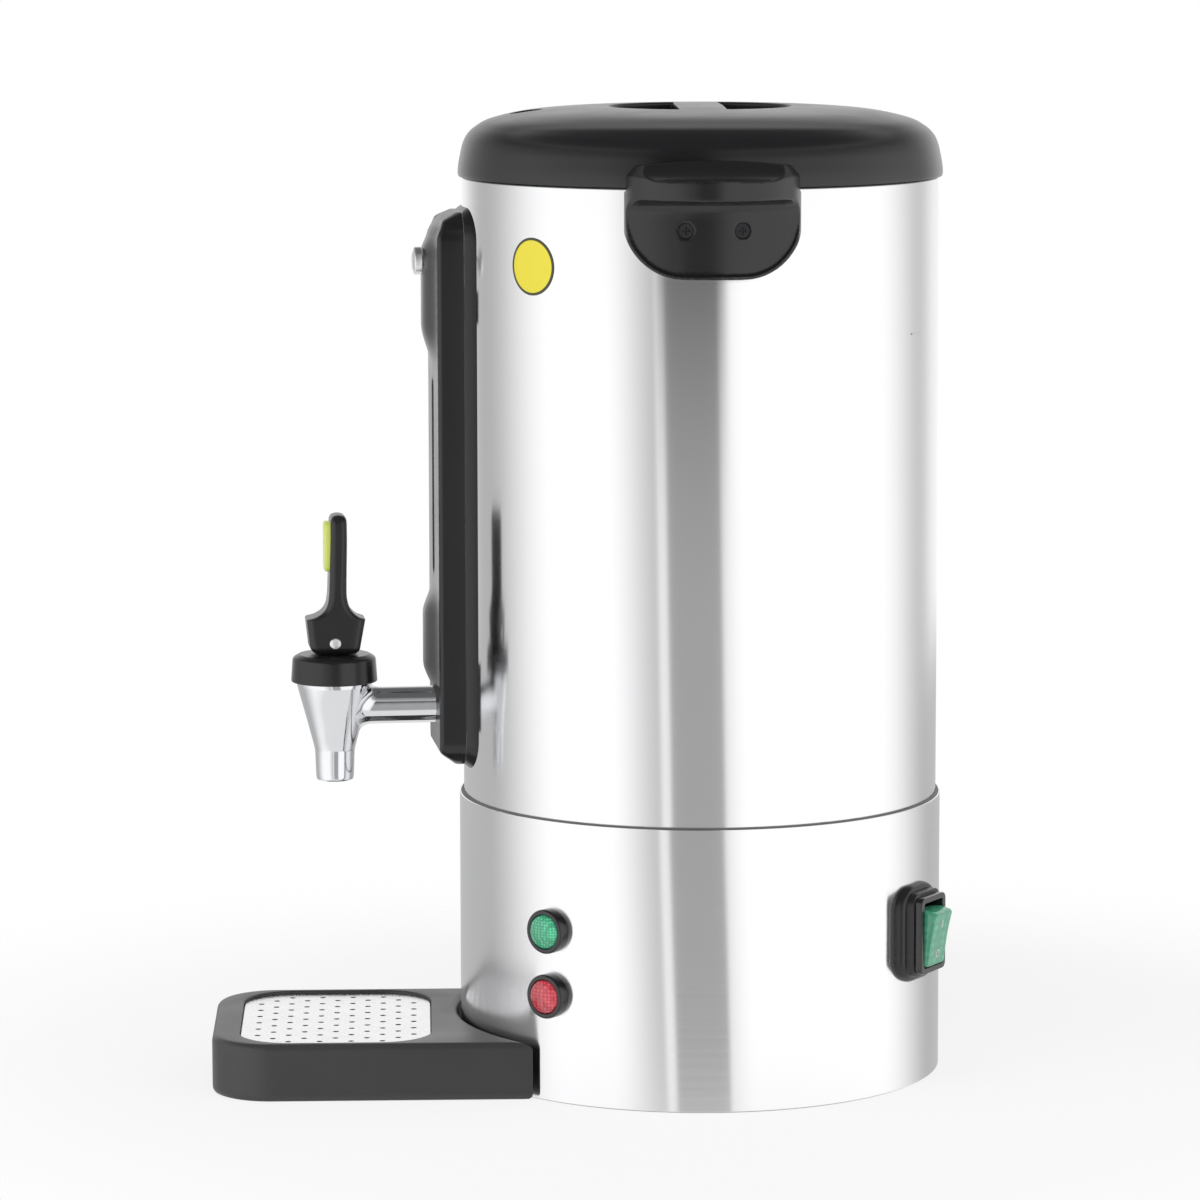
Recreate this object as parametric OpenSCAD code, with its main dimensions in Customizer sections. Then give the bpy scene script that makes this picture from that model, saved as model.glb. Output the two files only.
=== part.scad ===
// Coffee percolator urn: steel tank on a steel skirt, black lid, two side handles,
// a sight gauge with a self-closing tap, and a loose drip tray.
// Millimetres, +Z up. Origin: tank axis, level of the table under the foot ring.
// -X is the tap side, -Y and +Y are the two handles.
// Every moving piece is drawn in its rest position.

/* [Tank and skirt] */
// Outside diameter of the water tank
tank_d = 221; // [210:0.5:240]
// Height of the tank rim above the table
rim_z = 417.2; // [405:0.1:450]
// Sheet thickness of tank and skirt
sheet = 0.8; // [0.6:0.1:1.2]
// How far the skirt stands outside the tank, on the radius
skirt_step = 2; // [1.8:0.1:3]
// Height of the seam between skirt and tank
seam_z = 130; // [124:1:136]
// Height of the underside of the tank floor
floor_z = 104; // [98:0.5:110]
// Depth of the heating well below the tank floor
well_depth = 8; // [5:0.5:10]
// Radius of the heating well
well_r = 34; // [28:0.5:40]

/* [Base] */
// Thickness of the rubber foot ring under the skirt
foot_h = 1.2; // [1:0.1:3]
// Height of the middle of the base plate
plate_z = 6; // [5:0.5:9]
// Radius of the circle of the tie posts
post_circle = 62; // [56:0.5:66]

/* [Lid] */
// Height of the lid above the tank rim
lid_h = 32.6; // [28:0.1:38]
// Wall thickness of the lid shell
lid_wall = 2.4; // [2:0.1:3]
// Diameter of the round finger recess
recess_d = 84; // [70:1:96]
// Width of the grip bar that crosses the recess
bar_w = 21.5; // [16:0.5:28]

/* [Percolator insert] */
// Outside diameter of the coffee basket
basket_d = 112; // [90:1:130]
// Height of the coffee basket
basket_h = 72; // [50:1:84]
// Height of the basket floor
basket_z = 262; // [230:1:275]
// Outside diameter of the riser tube
riser_d = 10; // [8:0.5:12]

/* [Side handles] */
// Width of a handle
handle_w = 80.6; // [70:0.2:88]
// Height of the lower edge of a handle
handle_z = 377.3; // [370:0.1:382]
// How far a handle stands out from the tank
handle_reach = 25.5; // [20:0.5:30]
// Distance between the two screws of a handle
handle_pitch = 25; // [20:0.5:30]

/* [Sight gauge and tap] */
// Turn of gauge and tap about the tank axis, in degrees
front_turn = 5; // [0:0.5:8]
// Width of the gauge housing
gauge_w = 52.8; // [48:0.2:60]
// Height of the lower end of the gauge housing
gauge_z = 146.2; // [142:0.1:150]
// Height of the tap shank
tap_z = 172.5; // [170:0.1:174]
// Distance from the tank axis to the tap axis
tap_x = 171.3; // [165:0.1:180]
// Diameter of the tap shank
shank_d = 17; // [15:0.1:18]
// Diameter of the lever pin
pin_d = 5.4; // [4.5:0.1:5.8]

/* [Lamps and switch] */
// Direction of the two lamps about the tank axis, in degrees
lamp_az = -130; // [-140:1:-120]
// Height of the upper lamp
lamp_hi = 79.5; // [75:0.5:85]
// Height of the lower lamp
lamp_lo = 49.5; // [45:0.5:54]
// Direction of the switch about the tank axis, in degrees
switch_az = -32; // [-40:1:-25]
// Height of the switch
switch_z = 72.5; // [66:0.5:80]
// Tilt of the rocker in either position, in degrees
rocker_tilt = 10; // [6:0.5:12]
// Direction of the cord gland about the tank axis, in degrees
gland_az = 60; // [45:1:75]

/* [Drip tray] */
// Width of the drip tray
tray_w = 126; // [116:1:136]
// Distance from the tank axis to the front end of the tray
tray_front = 227.7; // [222:0.1:236]
// How far the loose tray stands to the near side of the tank axis
tray_shift = 19; // [0:0.5:21]
// Height of the tray
tray_h = 26.5; // [24:0.5:30]
// Spacing of the drain holes
hole_pitch = 7.2; // [6.5:0.1:9]
// Diameter of a drain hole
hole_d = 2.8; // [2:0.1:3.5]

/* [Hidden] */
$fn = 96;
// Facets of the big cylinders that small pieces are trimmed against
big = 360;
// Running clearance of a shaft, on the radius
run_fit = 0.06;
// Free gap between pieces that move past each other
free_gap = 0.3;

tank_r = tank_d / 2;
tank_in = tank_r - sheet;
skirt_r = tank_r + skirt_step;
skirt_in = skirt_r - sheet;
lip_w = 6;
skirt_z = foot_h;
base_z = skirt_z + sheet;
plate_t = 1.2;
inner_z = plate_z;
floor_top = floor_z + sheet;
well_z = floor_z - well_depth;
tank_z0 = floor_z - 4;
post_h = floor_z - inner_z - plate_t;
rim_in = tank_r - 5.5;
dish_r = skirt_in - 11.7;
warm_r = tank_in - 15.7;

lid_z = rim_z + 0.2;
lid_r = tank_r + 1.3;
lid_top = rim_z + lid_h;
plug_r = rim_in - 0.6;
flange_r = plug_r + 4;
recess_r = recess_d / 2;
liner_z = lid_z - 6;
cup_z = lid_z + 6;
ceil_z = lid_z + 28;
lid_screw_z = cup_z - 5;
vent_x = 24.6 - rim_in;
lid_screw_r = rim_in - 45;

riser_r = riser_d / 2;
basket_r = basket_d / 2;
bell_z = well_z + sheet + 0.4;
cover_z = basket_z + basket_h;
riser_top = cover_z + 22;

hw = handle_w / 2;
lip_r = 41 * handle_w / 82;
lip_y = -(tank_r + handle_reach - lip_r);
lip_z0 = rim_z - 4.5;
lip_z1 = rim_z + 5.4;
handle_top = rim_z + 12.7;
cove_r = 8;
scoop_x = lip_r - 1.8;
scoop_sag = max(4, tank_r + 8 + lip_y - sqrt(lip_r * lip_r - scoop_x * scoop_x) + 0.6);
scoop_r = (scoop_x * scoop_x + scoop_sag * scoop_sag) / (2 * scoop_sag);
screw_z = rim_z - 18.2;
tip_r = 27;

gauge_x0 = tank_r + 1.8;
gauge_x1 = tank_r + 14;
boss_x = gauge_x1 + 5.2;
gauge_top = rim_z - 15.2;
gauge_wall = 2.5;
cavity_x = gauge_x1 - gauge_wall;
gauge_r = 13;
cap_z = gauge_top - 23;
cap_r = 6.3;
block_z0 = tap_z - 12.5;
block_z1 = tap_z + 19.5;
sight_x = (gauge_x0 + cavity_x) / 2;
sight_r = 4;
sight_z0 = block_z1 - 8;
sight_z1 = cap_z - 19;
socket_r = sight_r + 0.6;
dot_az = -136;
dot_z = rim_z - 36.5;
dot_r = 13;
shank_r = shank_d / 2;

body_top = tap_z + 11.8;
bonnet_top = body_top + 12.8;
seat_z = body_top - 18.3;
nozzle_z = body_top - 33.1;
nozzle_low = body_top - 46.2;
stem_r = 3;
spring_r = 5.8;
spring_n = 9;
spring_z0 = seat_z + 5.05;
spring_dz = (bonnet_top - 3.6 - spring_z0) / (2 * spring_n);
eye_r = 5;
pin_r = pin_d / 2;
pin_z = bonnet_top + 5.7;
heel_z = bonnet_top + free_gap;
heel_r = 5;
heel_x = -6.75;
lever_top = bonnet_top + 65.2;
lever_w = 19;

rk_x = 2;
rk_r = 12.2;
rk_h = 13;
rk_w = 17.8;
neck_w = 21;
neck_h = 32.4;

wire_r = 1.4;
element_r = 25;
element_tube = 4;
leg_az = 31;
leg_r = element_tube - 0.6;
leg_z = well_z - 26;
leg_x = element_r * cos(leg_az);
leg_y = element_r * sin(leg_az);
// Gap between the skirt and the middle of the tray's concave end
tray_gap = 1.6;
// How much larger than the skirt the concave end is, on the radius
tray_sweep = 4.5;
// Distance from the tank axis to the back edge that the concave end is cut from
tray_back = 40;
cut_r = skirt_r + tray_sweep;
cut_x = tray_sweep - tray_gap;
plate_w = tray_w - 8;
plate_l = 88;
plate_x = -170.8;
plate_r = 24;
ledge = 3;
plate_seat = tray_h - 2.7;

steel = [0.80, 0.80, 0.81];
chrome = [0.86, 0.87, 0.89];
black = [0.07, 0.07, 0.075];
rubber = [0.10, 0.10, 0.10];
silicone = [0.75, 0.74, 0.70];
alu = [0.72, 0.73, 0.74];
brass = [0.78, 0.64, 0.34];

// ---- helpers -----------------------------------------------------------

module ring(ro, ri, z0, z1) {
  difference() {
    translate([0, 0, z0]) cylinder(r = ro, h = z1 - z0);
    translate([0, 0, z0 - 1]) cylinder(r = ri, h = z1 - z0 + 2);
  }
}

// Flat outline of a rectangle with round corners, centred.
module round_rect(w, h, r) {
  square([w - 2 * r, h], center = true);
  square([w, h - 2 * r], center = true);
  for (a = [-1, 1], b = [-1, 1]) translate([a * (w / 2 - r), b * (h / 2 - r)]) circle(r = r);
}

// The same outline as a plate that faces along X, from x0 to x1.
module face_plate(x0, x1, w, h, r) {
  translate([x0, 0, 0]) rotate([90, 0, 90]) linear_extrude(x1 - x0) round_rect(w, h, r);
}

module rod_x(x0, x1, r) { translate([x0, 0, 0]) rotate([0, 90, 0]) cylinder(r = r, h = x1 - x0); }

module rod_y(y0, y1, r) { translate([0, y0, 0]) rotate([-90, 0, 0]) cylinder(r = r, h = y1 - y0); }

// A profile drawn in X and Z, made wide along Y, centred.
module slab_y(w) { translate([0, w / 2, 0]) rotate([90, 0, 0]) linear_extrude(w) children(); }

module at_wall(az, z) { rotate([0, 0, az]) translate([skirt_r, 0, z]) children(); }

module at_lamp(z) { at_wall(lamp_az, z) children(); }

module at_switch() { at_wall(switch_az, switch_z) children(); }

module front() { rotate([0, 0, front_turn]) children(); }

module at_tap() { front() translate([-tap_x, 0, 0]) children(); }

module tank_core() { translate([0, 0, -20]) cylinder(r = tank_r, h = rim_z + 120, $fn = big); }

module skirt_core() { translate([0, 0, -1]) cylinder(r = skirt_r, h = seam_z + 40, $fn = big); }

module skirt_inside() { translate([0, 0, 3]) cylinder(r = skirt_in, h = seam_z, $fn = big); }

module tank_inside() { cylinder(r = tank_in, h = rim_z + 50, $fn = big); }

module hexagon(r, h) { rotate([0, 0, 30]) cylinder(r = r, h = h, $fn = 6); }

module around(n, r, turn = 0) {
  for (i = [0 : n - 1]) rotate([0, 0, turn + i * 360 / n]) translate([r, 0, 0]) children();
}

// ---- base --------------------------------------------------------------

module skirt_shell() color(steel) difference() {
  union() {
    ring(skirt_r, skirt_in, skirt_z, seam_z);
    ring(skirt_in + sheet / 2, skirt_in - lip_w, skirt_z, skirt_z + sheet);
  }
  for (z = [lamp_hi, lamp_lo]) at_lamp(z) rod_x(-8, 8, 6);
  at_switch() face_plate(-12, 8, neck_w + 0.2, neck_h + 0.2, 1.6);
  at_wall(gland_az, 32) rod_x(-8, 8, 8);
}

module seam_ring() color(rubber) {
  ring(skirt_in, tank_r, seam_z - 12, seam_z);
  ring(skirt_r - 0.2, tank_r, seam_z, seam_z + 1.3);
}

module base_plate() color(steel) difference() {
  rotate_extrude() polygon([
    [0, inner_z], [dish_r, inner_z], [dish_r + 4, base_z], [skirt_in, base_z],
    [skirt_in, base_z + plate_t], [dish_r + 4.6, base_z + plate_t],
    [dish_r + 0.6, inner_z + plate_t], [0, inner_z + plate_t]]);
  around(3, post_circle, 90) translate([0, 0, -1]) cylinder(r = 2.2, h = 30);
  around(6, 30) translate([0, 0, -1]) cylinder(r = 4, h = 30);
}

module foot_ring() color(rubber) ring(skirt_r - 0.4, skirt_in - lip_w - 0.8, 0, skirt_z);

module base_screws() color(steel) around(3, post_circle, 90) difference() {
  union() {
    translate([0, 0, inner_z - 2.4]) cylinder(r = 4, h = 2.4);
    translate([0, 0, inner_z]) cylinder(r = 2, h = plate_t + 10);
  }
  for (a = [0, 90]) rotate([0, 0, a])
    translate([-2, -0.4, inner_z - 3]) cube([4, 0.8, 1.8]);
}

module tie_posts() color(steel) around(3, post_circle, 90) difference() {
  translate([0, 0, inner_z + plate_t]) cylinder(r = 5, h = post_h);
  translate([0, 0, inner_z + plate_t - 1]) cylinder(r = 2, h = 16);
}

module cord_gland() color(black) difference() {
  at_wall(gland_az, 32) difference() {
    union() {
      rod_x(-18, 1, 7.9);
      translate([0, 0, 0]) rotate([0, 90, 0])
        rotate_extrude() polygon([[0, -3], [12, -3], [12, 2.5], [8.5, 6], [7, 12], [0, 12]]);
    }
    rod_x(-19, 14, 3.8);
  }
  difference() {
    skirt_core();
    at_wall(gland_az, 32) rod_x(-30, 20, 7.9);
  }
}

module gland_nut() color(black) intersection() {
  at_wall(gland_az, 32) difference() {
    translate([-7, 0, 0]) rotate([0, 90, 0]) hexagon(12, 8);
    rod_x(-20, 20, 7.9);
  }
  skirt_inside();
}

module terminal_block() color(silicone) translate([20, 24, inner_z + plate_t]) difference() {
  cube([44, 18, 15]);
  for (i = [0 : 3]) translate([5.5 + 11 * i, 4.5, 10]) cylinder(r = 2, h = 8);
}

// Wires: each runs up from the terminal block, across, and up again to its terminal.
module wire(x, y, zm, tx, ty, tz) {
  $fn = 10;
  z0 = inner_z + plate_t + 15;
  dx = tx - x;
  dy = ty - y;
  translate([x, y, z0]) cylinder(r = wire_r, h = zm - z0 + wire_r);
  translate([tx, ty, zm - wire_r]) cylinder(r = wire_r, h = tz - zm + wire_r);
  translate([x, y, zm]) rotate([0, 0, atan2(dy, dx)]) rod_x(0, norm([dx, dy]), wire_r - 0.1);
}

module wiring() color([0.55, 0.16, 0.12]) {
  wire(25.5, 37.5, 40, leg_x, leg_y, leg_z);
  wire(36.5, 37.5, 46, leg_x, -leg_y, leg_z);
  wire(47.5, 37.5, 52, 50, 4, floor_z - 20);
  wire(58.5, 37.5, 34, warm_r - 14, 6, floor_z - 8);
}

module heater_plate() color(alu) difference() {
  translate([0, 0, well_z - 10]) cylinder(r = well_r - 1, h = 10);
  translate([0, 0, well_z - 10]) rotate_extrude() translate([element_r, 0])
    circle(r = element_tube);
}

module brew_element() color(steel) {
  translate([0, 0, well_z - 10]) rotate([0, 0, 21]) rotate_extrude(angle = 318)
    translate([element_r, 0]) circle(r = element_tube);
  for (s = [-1, 1]) rotate([0, 0, s * leg_az]) translate([element_r, 0, leg_z])
    cylinder(r = leg_r, h = well_z - 8 - leg_z);
}

module warm_element() color(alu) {
  ring(warm_r, warm_r - 16, floor_z - 3.5, floor_z);
  translate([warm_r - 18, 2, floor_z - 8]) cube([8, 8, 4.5]);
}

module thermostat() color(black) {
  translate([50, 0, floor_z - 14]) cylinder(r = 8, h = 14);
  translate([46, 2, floor_z - 20]) cube([8, 4, 6]);
}

module thermal_cutout() color(brass) {
  translate([-50, 0, floor_z - 11]) cylinder(r = 9, h = 11);
  for (s = [-1, 1]) translate([-52, s * 5 - 0.5, floor_z - 18]) cube([4, 1, 7]);
}

// ---- lamps and switch ----------------------------------------------------

module lamp_bezels() color(black) for (z = [lamp_hi, lamp_lo]) difference() {
  at_lamp(z) difference() {
    union() {
      rod_x(-14, 1, 5.9);
      rotate([0, 90, 0])
        rotate_extrude() polygon([[0, -2], [10.15, -2], [10.15, 3.6], [8.9, 5], [0, 5]]);
    }
    rod_x(1.6, 8, 7.7);
    rod_x(-16, 8, 4);
  }
  difference() {
    skirt_core();
    at_lamp(z) rod_x(-20, 8, 5.9);
  }
}

module lens() rotate([0, 90, 0]) rotate_extrude() polygon([
  [0, -10], [4, -10], [4, 1.6], [7.6, 1.6], [7.6, 4.8], [7.1, 5.6], [6, 6.5], [4.6, 7.3],
  [3, 7.8], [1.4, 8.1], [0, 8.2]]);

module green_lens() color([0.35, 0.75, 0.45]) at_lamp(lamp_hi) lens();

module red_lens() color([0.85, 0.16, 0.20]) at_lamp(lamp_lo) lens();

module lamp_nuts() color(black) for (z = [lamp_hi, lamp_lo]) intersection() {
  at_lamp(z) difference() {
    translate([-5.5, 0, 0]) rotate([0, 90, 0]) hexagon(9.5, 6);
    rod_x(-20, 20, 5.9);
  }
  skirt_inside();
}

module switch_surround() color(black) difference() {
  at_switch() difference() {
    union() {
      face_plate(-3, 2.6, 34, 45, 11);
      face_plate(2, 3.6, 32, 43, 10);
      face_plate(3, 7, 28.5, 38.5, 6);
    }
    face_plate(-8, 8, neck_w + 0.2, neck_h + 0.2, 1.6);
  }
  skirt_core();
}

module switch_body() color(black) at_switch() {
  difference() {
    union() {
      face_plate(-22, 8, neck_w, neck_h, 1.5);
      face_plate(7, 10.5, 24.5, 35.5, 3);
    }
    face_plate(-6, 12, rk_w + 0.6, 2 * rk_h + 4, 1);
    translate([rk_x, 0, 0]) rod_y(-neck_w / 2 + 0.3, neck_w / 2 - 0.3, 1.5 + run_fit);
  }
  for (s = [-1, 0, 1]) translate([-30, -3, s * 9 - 0.4]) cube([8, 6, 0.8]);
}

module switch_rocker() color([0.20, 0.55, 0.40]) at_switch() translate([rk_x, 0, 0])
  rotate([0, rocker_tilt, 0]) {
    difference() {
      slab_y(rk_w) polygon([
        [-3, -rk_h + 3], [-3, rk_h - 3], [4, rk_h], [rk_r - 1, rk_h], [rk_r, rk_h - 1],
        [rk_r - 0.8, 0], [rk_r, -rk_h + 1], [rk_r - 1, -rk_h], [4, -rk_h]]);
    }
    rod_y(-neck_w / 2 + 0.5, neck_w / 2 - 0.5, 1.5);
  }

// ---- tank ------------------------------------------------------------------

module handle_holes(r) {
  for (a = [0, 180], s = [-1, 1]) rotate([0, 0, a]) translate([s * handle_pitch / 2, 0, screw_z])
    rod_y(-tank_r - 30, -tank_r + 10, r);
}

module tank_shell() color(steel) difference() {
  union() {
    ring(tank_r, tank_in, tank_z0, rim_z);
    ring(tank_in + sheet / 2, rim_in, rim_z - sheet, rim_z);
  }
  handle_holes(2.1);
  front() translate([0, 0, tap_z]) rod_x(-tank_r - 5, -tank_r + 8, shank_r);
  front() translate([0, 0, cap_z]) rod_x(-tank_r - 5, -tank_r + 8, 2.5);
}

module tank_floor() color(steel) rotate_extrude() polygon([
  [0, well_z], [well_r + sheet, well_z], [well_r + sheet, floor_z], [tank_in, floor_z],
  [tank_in, floor_z + 8], [tank_in - sheet, floor_z + 8], [tank_in - sheet, floor_top],
  [well_r, floor_top], [well_r, well_z + sheet], [0, well_z + sheet]]);

module heat_dot() color([0.92, 0.80, 0.16]) intersection() {
  ring(tank_r + 0.3, tank_r, dot_z - 2 * dot_r, dot_z + 2 * dot_r);
  rotate([0, 0, dot_az]) translate([0, 0, dot_z]) rod_x(tank_r - 20, tank_r + 5, dot_r);
}

// ---- side handles ----------------------------------------------------------

// Front view of a handle, drawn in by an inset.
module handle_face(inset) intersection() {
  union() {
    translate([-hw + inset, handle_z + tip_r]) square([2 * (hw - inset), 60]);
    translate([-hw + tip_r, handle_z + inset]) square([2 * (hw - tip_r), 60]);
    for (s = [-1, 1]) translate([s * (hw - tip_r), handle_z + tip_r]) circle(r = tip_r - inset);
  }
  translate([0, handle_top - 240]) circle(r = 240, $fn = 192);
}

// Space below the lip: a flat ceiling, a round cove and a wall that bends round the tank.
module handle_scoop(web) translate([0, scoop_r - tank_r - 8, 0]) rotate_extrude()
  polygon(concat([[scoop_r + web, handle_z - 6]],
    [for (a = [0 : 15 : 90]) [scoop_r + web + cove_r * (1 - cos(a)), lip_z0 - cove_r * (1 - sin(a))]],
    [[scoop_r + 80, lip_z0], [scoop_r + 80, handle_z - 6]]));

module handle() difference() {
  intersection() {
    translate([0, lip_y, handle_z - 1]) union() {
      cylinder(r = lip_r, h = lip_z1 - handle_z + 1);
      translate([0, 0, lip_z1 - handle_z + 1]) cylinder(r1 = lip_r, r2 = lip_r - 12, h = 16);
    }
    translate([0, -tank_r + 20, 0]) rotate([90, 0, 0]) linear_extrude(80) handle_face(0);
  }
  // the tank below, and a wider bore where the lid edge stands
  tank_core();
  translate([0, 0, rim_z - 1.2]) cylinder(r = lid_r + 1.2, h = 60);
  // dished top that rises towards the lid
  translate([0, -tank_r - handle_reach + 6, lip_z1 + 18.7]) rod_x(-60, 60, 20);
  // finger scoop below the lip, with a raised edge round it
  intersection() {
    handle_scoop(0);
    translate([0, -tank_r + 20, 0]) rotate([90, 0, 0]) linear_extrude(80) handle_face(1.8);
  }
  handle_scoop(1.5);
  handle_screw_cuts();
}

module handle_screw_cuts() {
  for (s = [-1, 1]) translate([s * handle_pitch / 2, 0, screw_z]) {
    rod_y(-tank_r - 30, -tank_r + 10, 2);
    rod_y(-tank_r - 30, -tank_r - 4, 3.4);
  }
}

module handle_near() color(black) handle();

module handle_far() color(black) rotate([0, 0, 180]) handle();

module handle_screws() color(steel) for (a = [0, 180], s = [-1, 1])
  rotate([0, 0, a]) translate([s * handle_pitch / 2, 0, screw_z]) difference() {
    union() {
      rod_y(-tank_r - 6.4, -tank_r - 4, 3.3);
      rod_y(-tank_r - 4, -tank_r + 8, 2);
    }
    for (t = [0, 90]) rotate([0, t, 0]) translate([-1.7, -tank_r - 7, -0.35]) cube([3.4, 1.7, 0.7]);
  }

module handle_nuts() color(steel) for (a = [0, 180], s = [-1, 1]) intersection() {
  rotate([0, 0, a]) translate([s * handle_pitch / 2, 0, screw_z]) difference() {
    translate([0, -tank_in - 2, 0]) rotate([-90, 0, 0]) hexagon(4.2, 6);
    rod_y(-tank_r - 30, -tank_r + 20, 2);
  }
  tank_inside();
}

// ---- sight gauge -------------------------------------------------------------

// Block with the front outline of the gauge, from x0 out to x1.
module gauge_block_outline(x0, x1, inset) {
  zc = (gauge_z + gauge_top) / 2;
  translate([0, 0, zc])
    face_plate(-x1, -x0, gauge_w - 2 * inset, gauge_top - gauge_z - 2 * inset, gauge_r - inset);
}

module gauge_frame() color(black) front() difference() {
  gauge_block_outline(tank_r - 12, gauge_x0, 0);
  gauge_block_outline(tank_r - 14, gauge_x0 + 1, 5);
  tank_core();
}

module gauge_boss(z0, z1) {
  slab_y(24) polygon([
    [-cavity_x - 0.5, z0 - 8], [-gauge_x1, z0 - 8], [-boss_x, z0], [-boss_x, z1],
    [-boss_x + 2, z1 + 4.5], [-gauge_x1 + 2, z1 + 8], [-cavity_x - 0.5, z1 + 8]]);
}

module gauge_cover() color(black) front() difference() {
  union() {
    intersection() {
      gauge_block_outline(gauge_x0, boss_x, 0);
      slab_y(gauge_w + 2) polygon([
        [-gauge_x0, gauge_z], [-gauge_x1 + 6.9, gauge_z], [-gauge_x1, gauge_z + 8],
        [-gauge_x1, gauge_top - 10], [-gauge_x1 + 2.5, gauge_top - 4.5],
        [-gauge_x1 + 7, gauge_top - 0.6], [-gauge_x0, gauge_top]]);
    }
    gauge_boss(cap_z - 31, gauge_top - 14);
    gauge_boss(block_z1 - 2, block_z1 + 26);
  }
  intersection() {
    gauge_block_outline(gauge_x0 - 1, cavity_x, gauge_wall);
    slab_y(gauge_w + 2) polygon([
      [-gauge_x0 + 2, gauge_z], [-gauge_x1 + 9, gauge_z + 2], [-cavity_x, gauge_z + 9],
      [-cavity_x, gauge_top - 11], [-gauge_x1 + 8, gauge_top - 3], [-gauge_x0 + 2, gauge_top]]);
  }
  // window that shows the sight tube
  translate([0, 0, (block_z1 + cap_z - 12) / 2])
    face_plate(-boss_x - 5, -cavity_x + 1, 11, cap_z - block_z1 - 96, 5);
  translate([0, 0, cap_z]) rod_x(-boss_x - 5, -gauge_x0, 2.5);
  translate([0, 0, tap_z]) rod_x(-boss_x - 5, -gauge_x0, shank_r);
}

module gauge_cap() color(chrome) front() translate([0, 0, cap_z]) {
  rod_x(-boss_x, -tank_in + 7, 2.5);
  rotate([0, -90, 0]) rotate_extrude() polygon([
    [0, boss_x], [cap_r, boss_x], [cap_r, boss_x + 2.6], [cap_r - 0.8, boss_x + 3.6],
    [cap_r - 3, boss_x + 4.2], [0, boss_x + 4.4]]);
}

module gauge_nut() color(steel) intersection() {
  front() translate([0, 0, cap_z]) difference() {
    translate([-tank_in - 2, 0, 0]) rotate([0, 90, 0]) hexagon(5, 6);
    rod_x(-tank_r - 30, -tank_r + 20, 2.5);
  }
  tank_inside();
}

module gauge_block() color(black) front() difference() {
  translate([-cavity_x, -11, block_z0]) cube([cavity_x - gauge_x0, 22, block_z1 - block_z0]);
  translate([0, 0, tap_z]) rod_x(-cavity_x - 1, -gauge_x0 + 1, shank_r);
  translate([-sight_x, 0, tap_z]) cylinder(r = 2.6, h = 14);
  translate([-sight_x, 0, sight_z0]) cylinder(r = sight_r, h = 30);
  translate([-sight_x, 0, sight_z0 + 3]) cylinder(r = socket_r, h = 30);
}

module gauge_plug() color(black) front() difference() {
  translate([-cavity_x, -10, sight_z1 - 9]) cube([cavity_x - gauge_x0, 20, 15]);
  translate([-sight_x, 0, sight_z1 - 10]) cylinder(r = sight_r, h = 10);
  translate([-sight_x, 0, sight_z1 - 10]) cylinder(r = socket_r, h = 7);
}

module gauge_seals() color(silicone) front() translate([-sight_x, 0, 0]) {
  ring(socket_r, sight_r, sight_z0 + 3, block_z1);
  ring(socket_r, sight_r, sight_z1 - 9, sight_z1 - 3);
}

module sight_tube() color([0.85, 0.90, 0.92]) front() translate([-sight_x, 0, 0])
  ring(sight_r, sight_r - 1.2, sight_z0, sight_z1);

// ---- tap ---------------------------------------------------------------------

module tap_body() color(chrome) difference() {
  union() {
    at_tap() rotate_extrude() polygon([
      [0, nozzle_low], [8.1, nozzle_low], [8.45, nozzle_low + 0.6], [9.1, nozzle_z],
      [9.6, nozzle_z + 3], [12.6, seat_z], [17.3, body_top - 2], [17.3, body_top],
      [0, body_top]]);
    front() translate([0, 0, tap_z]) rod_x(-tap_x + 2, -tank_r + 16, shank_r);
  }
  at_tap() {
    translate([0, 0, nozzle_low - 1]) cylinder(r = 5.5, h = 60);
    rotate_extrude() polygon([
      [0, seat_z], [8.5, seat_z], [13, seat_z + 12], [13, body_top + 1], [0, body_top + 1]]);
  }
  front() translate([0, 0, tap_z]) rod_x(-tap_x, -tank_r + 20, 5.5);
  front() translate([-sight_x, 0, tap_z]) cylinder(r = 2.6, h = 14);
}

module tap_washers() color(rubber) {
  front() difference() {
    translate([0, 0, tap_z]) rod_x(-gauge_x0, -tank_r + 10, 14);
    translate([0, 0, tap_z]) rod_x(-tap_x, -tank_r + 20, shank_r);
    tank_core();
  }
  intersection() {
    front() translate([0, 0, tap_z]) difference() {
      rod_x(-tank_in - 3, -tank_in + 4, 14);
      rod_x(-tap_x, -tank_r + 20, shank_r);
    }
    tank_inside();
  }
}

module tap_nut() color(steel) front() translate([0, 0, tap_z]) difference() {
  translate([-tank_in + 4, 0, 0]) rotate([0, 90, 0]) hexagon(14.5, 7);
  rod_x(-tap_x, -tank_r + 30, shank_r);
}

module tap_bonnet() color(black) at_tap() rotate_extrude() polygon([
  [13, body_top], [19.95, body_top], [19.95, body_top + 1], [19.3, bonnet_top - 2.6],
  [18.5, bonnet_top - 0.7], [16.8, bonnet_top], [stem_r + run_fit, bonnet_top],
  [stem_r + run_fit, bonnet_top - 3.6], [13, bonnet_top - 3.6]]);

// The coils are drawn as ribs, closed enough to stay one solid.
module tap_spring() color(steel) at_tap() rotate_extrude() polygon(concat(
  [for (i = [0 : 2 * spring_n]) [spring_r + (i % 2 == 0 ? 0.2 : 0.9), spring_z0 + i * spring_dz]],
  [for (i = [2 * spring_n : -1 : 0]) [spring_r - (i % 2 == 0 ? 0.2 : 0.5), spring_z0 + i * spring_dz]]));

module tap_stem() color(steel) at_tap() difference() {
  union() {
    translate([0, 0, seat_z + 2.05]) cylinder(r = stem_r, h = pin_z - seat_z - 4);
    translate([0, 0, pin_z]) rod_y(-4, 4, eye_r);
  }
  translate([0, 0, pin_z]) rod_y(-5, 5, pin_r + run_fit);
}

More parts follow.
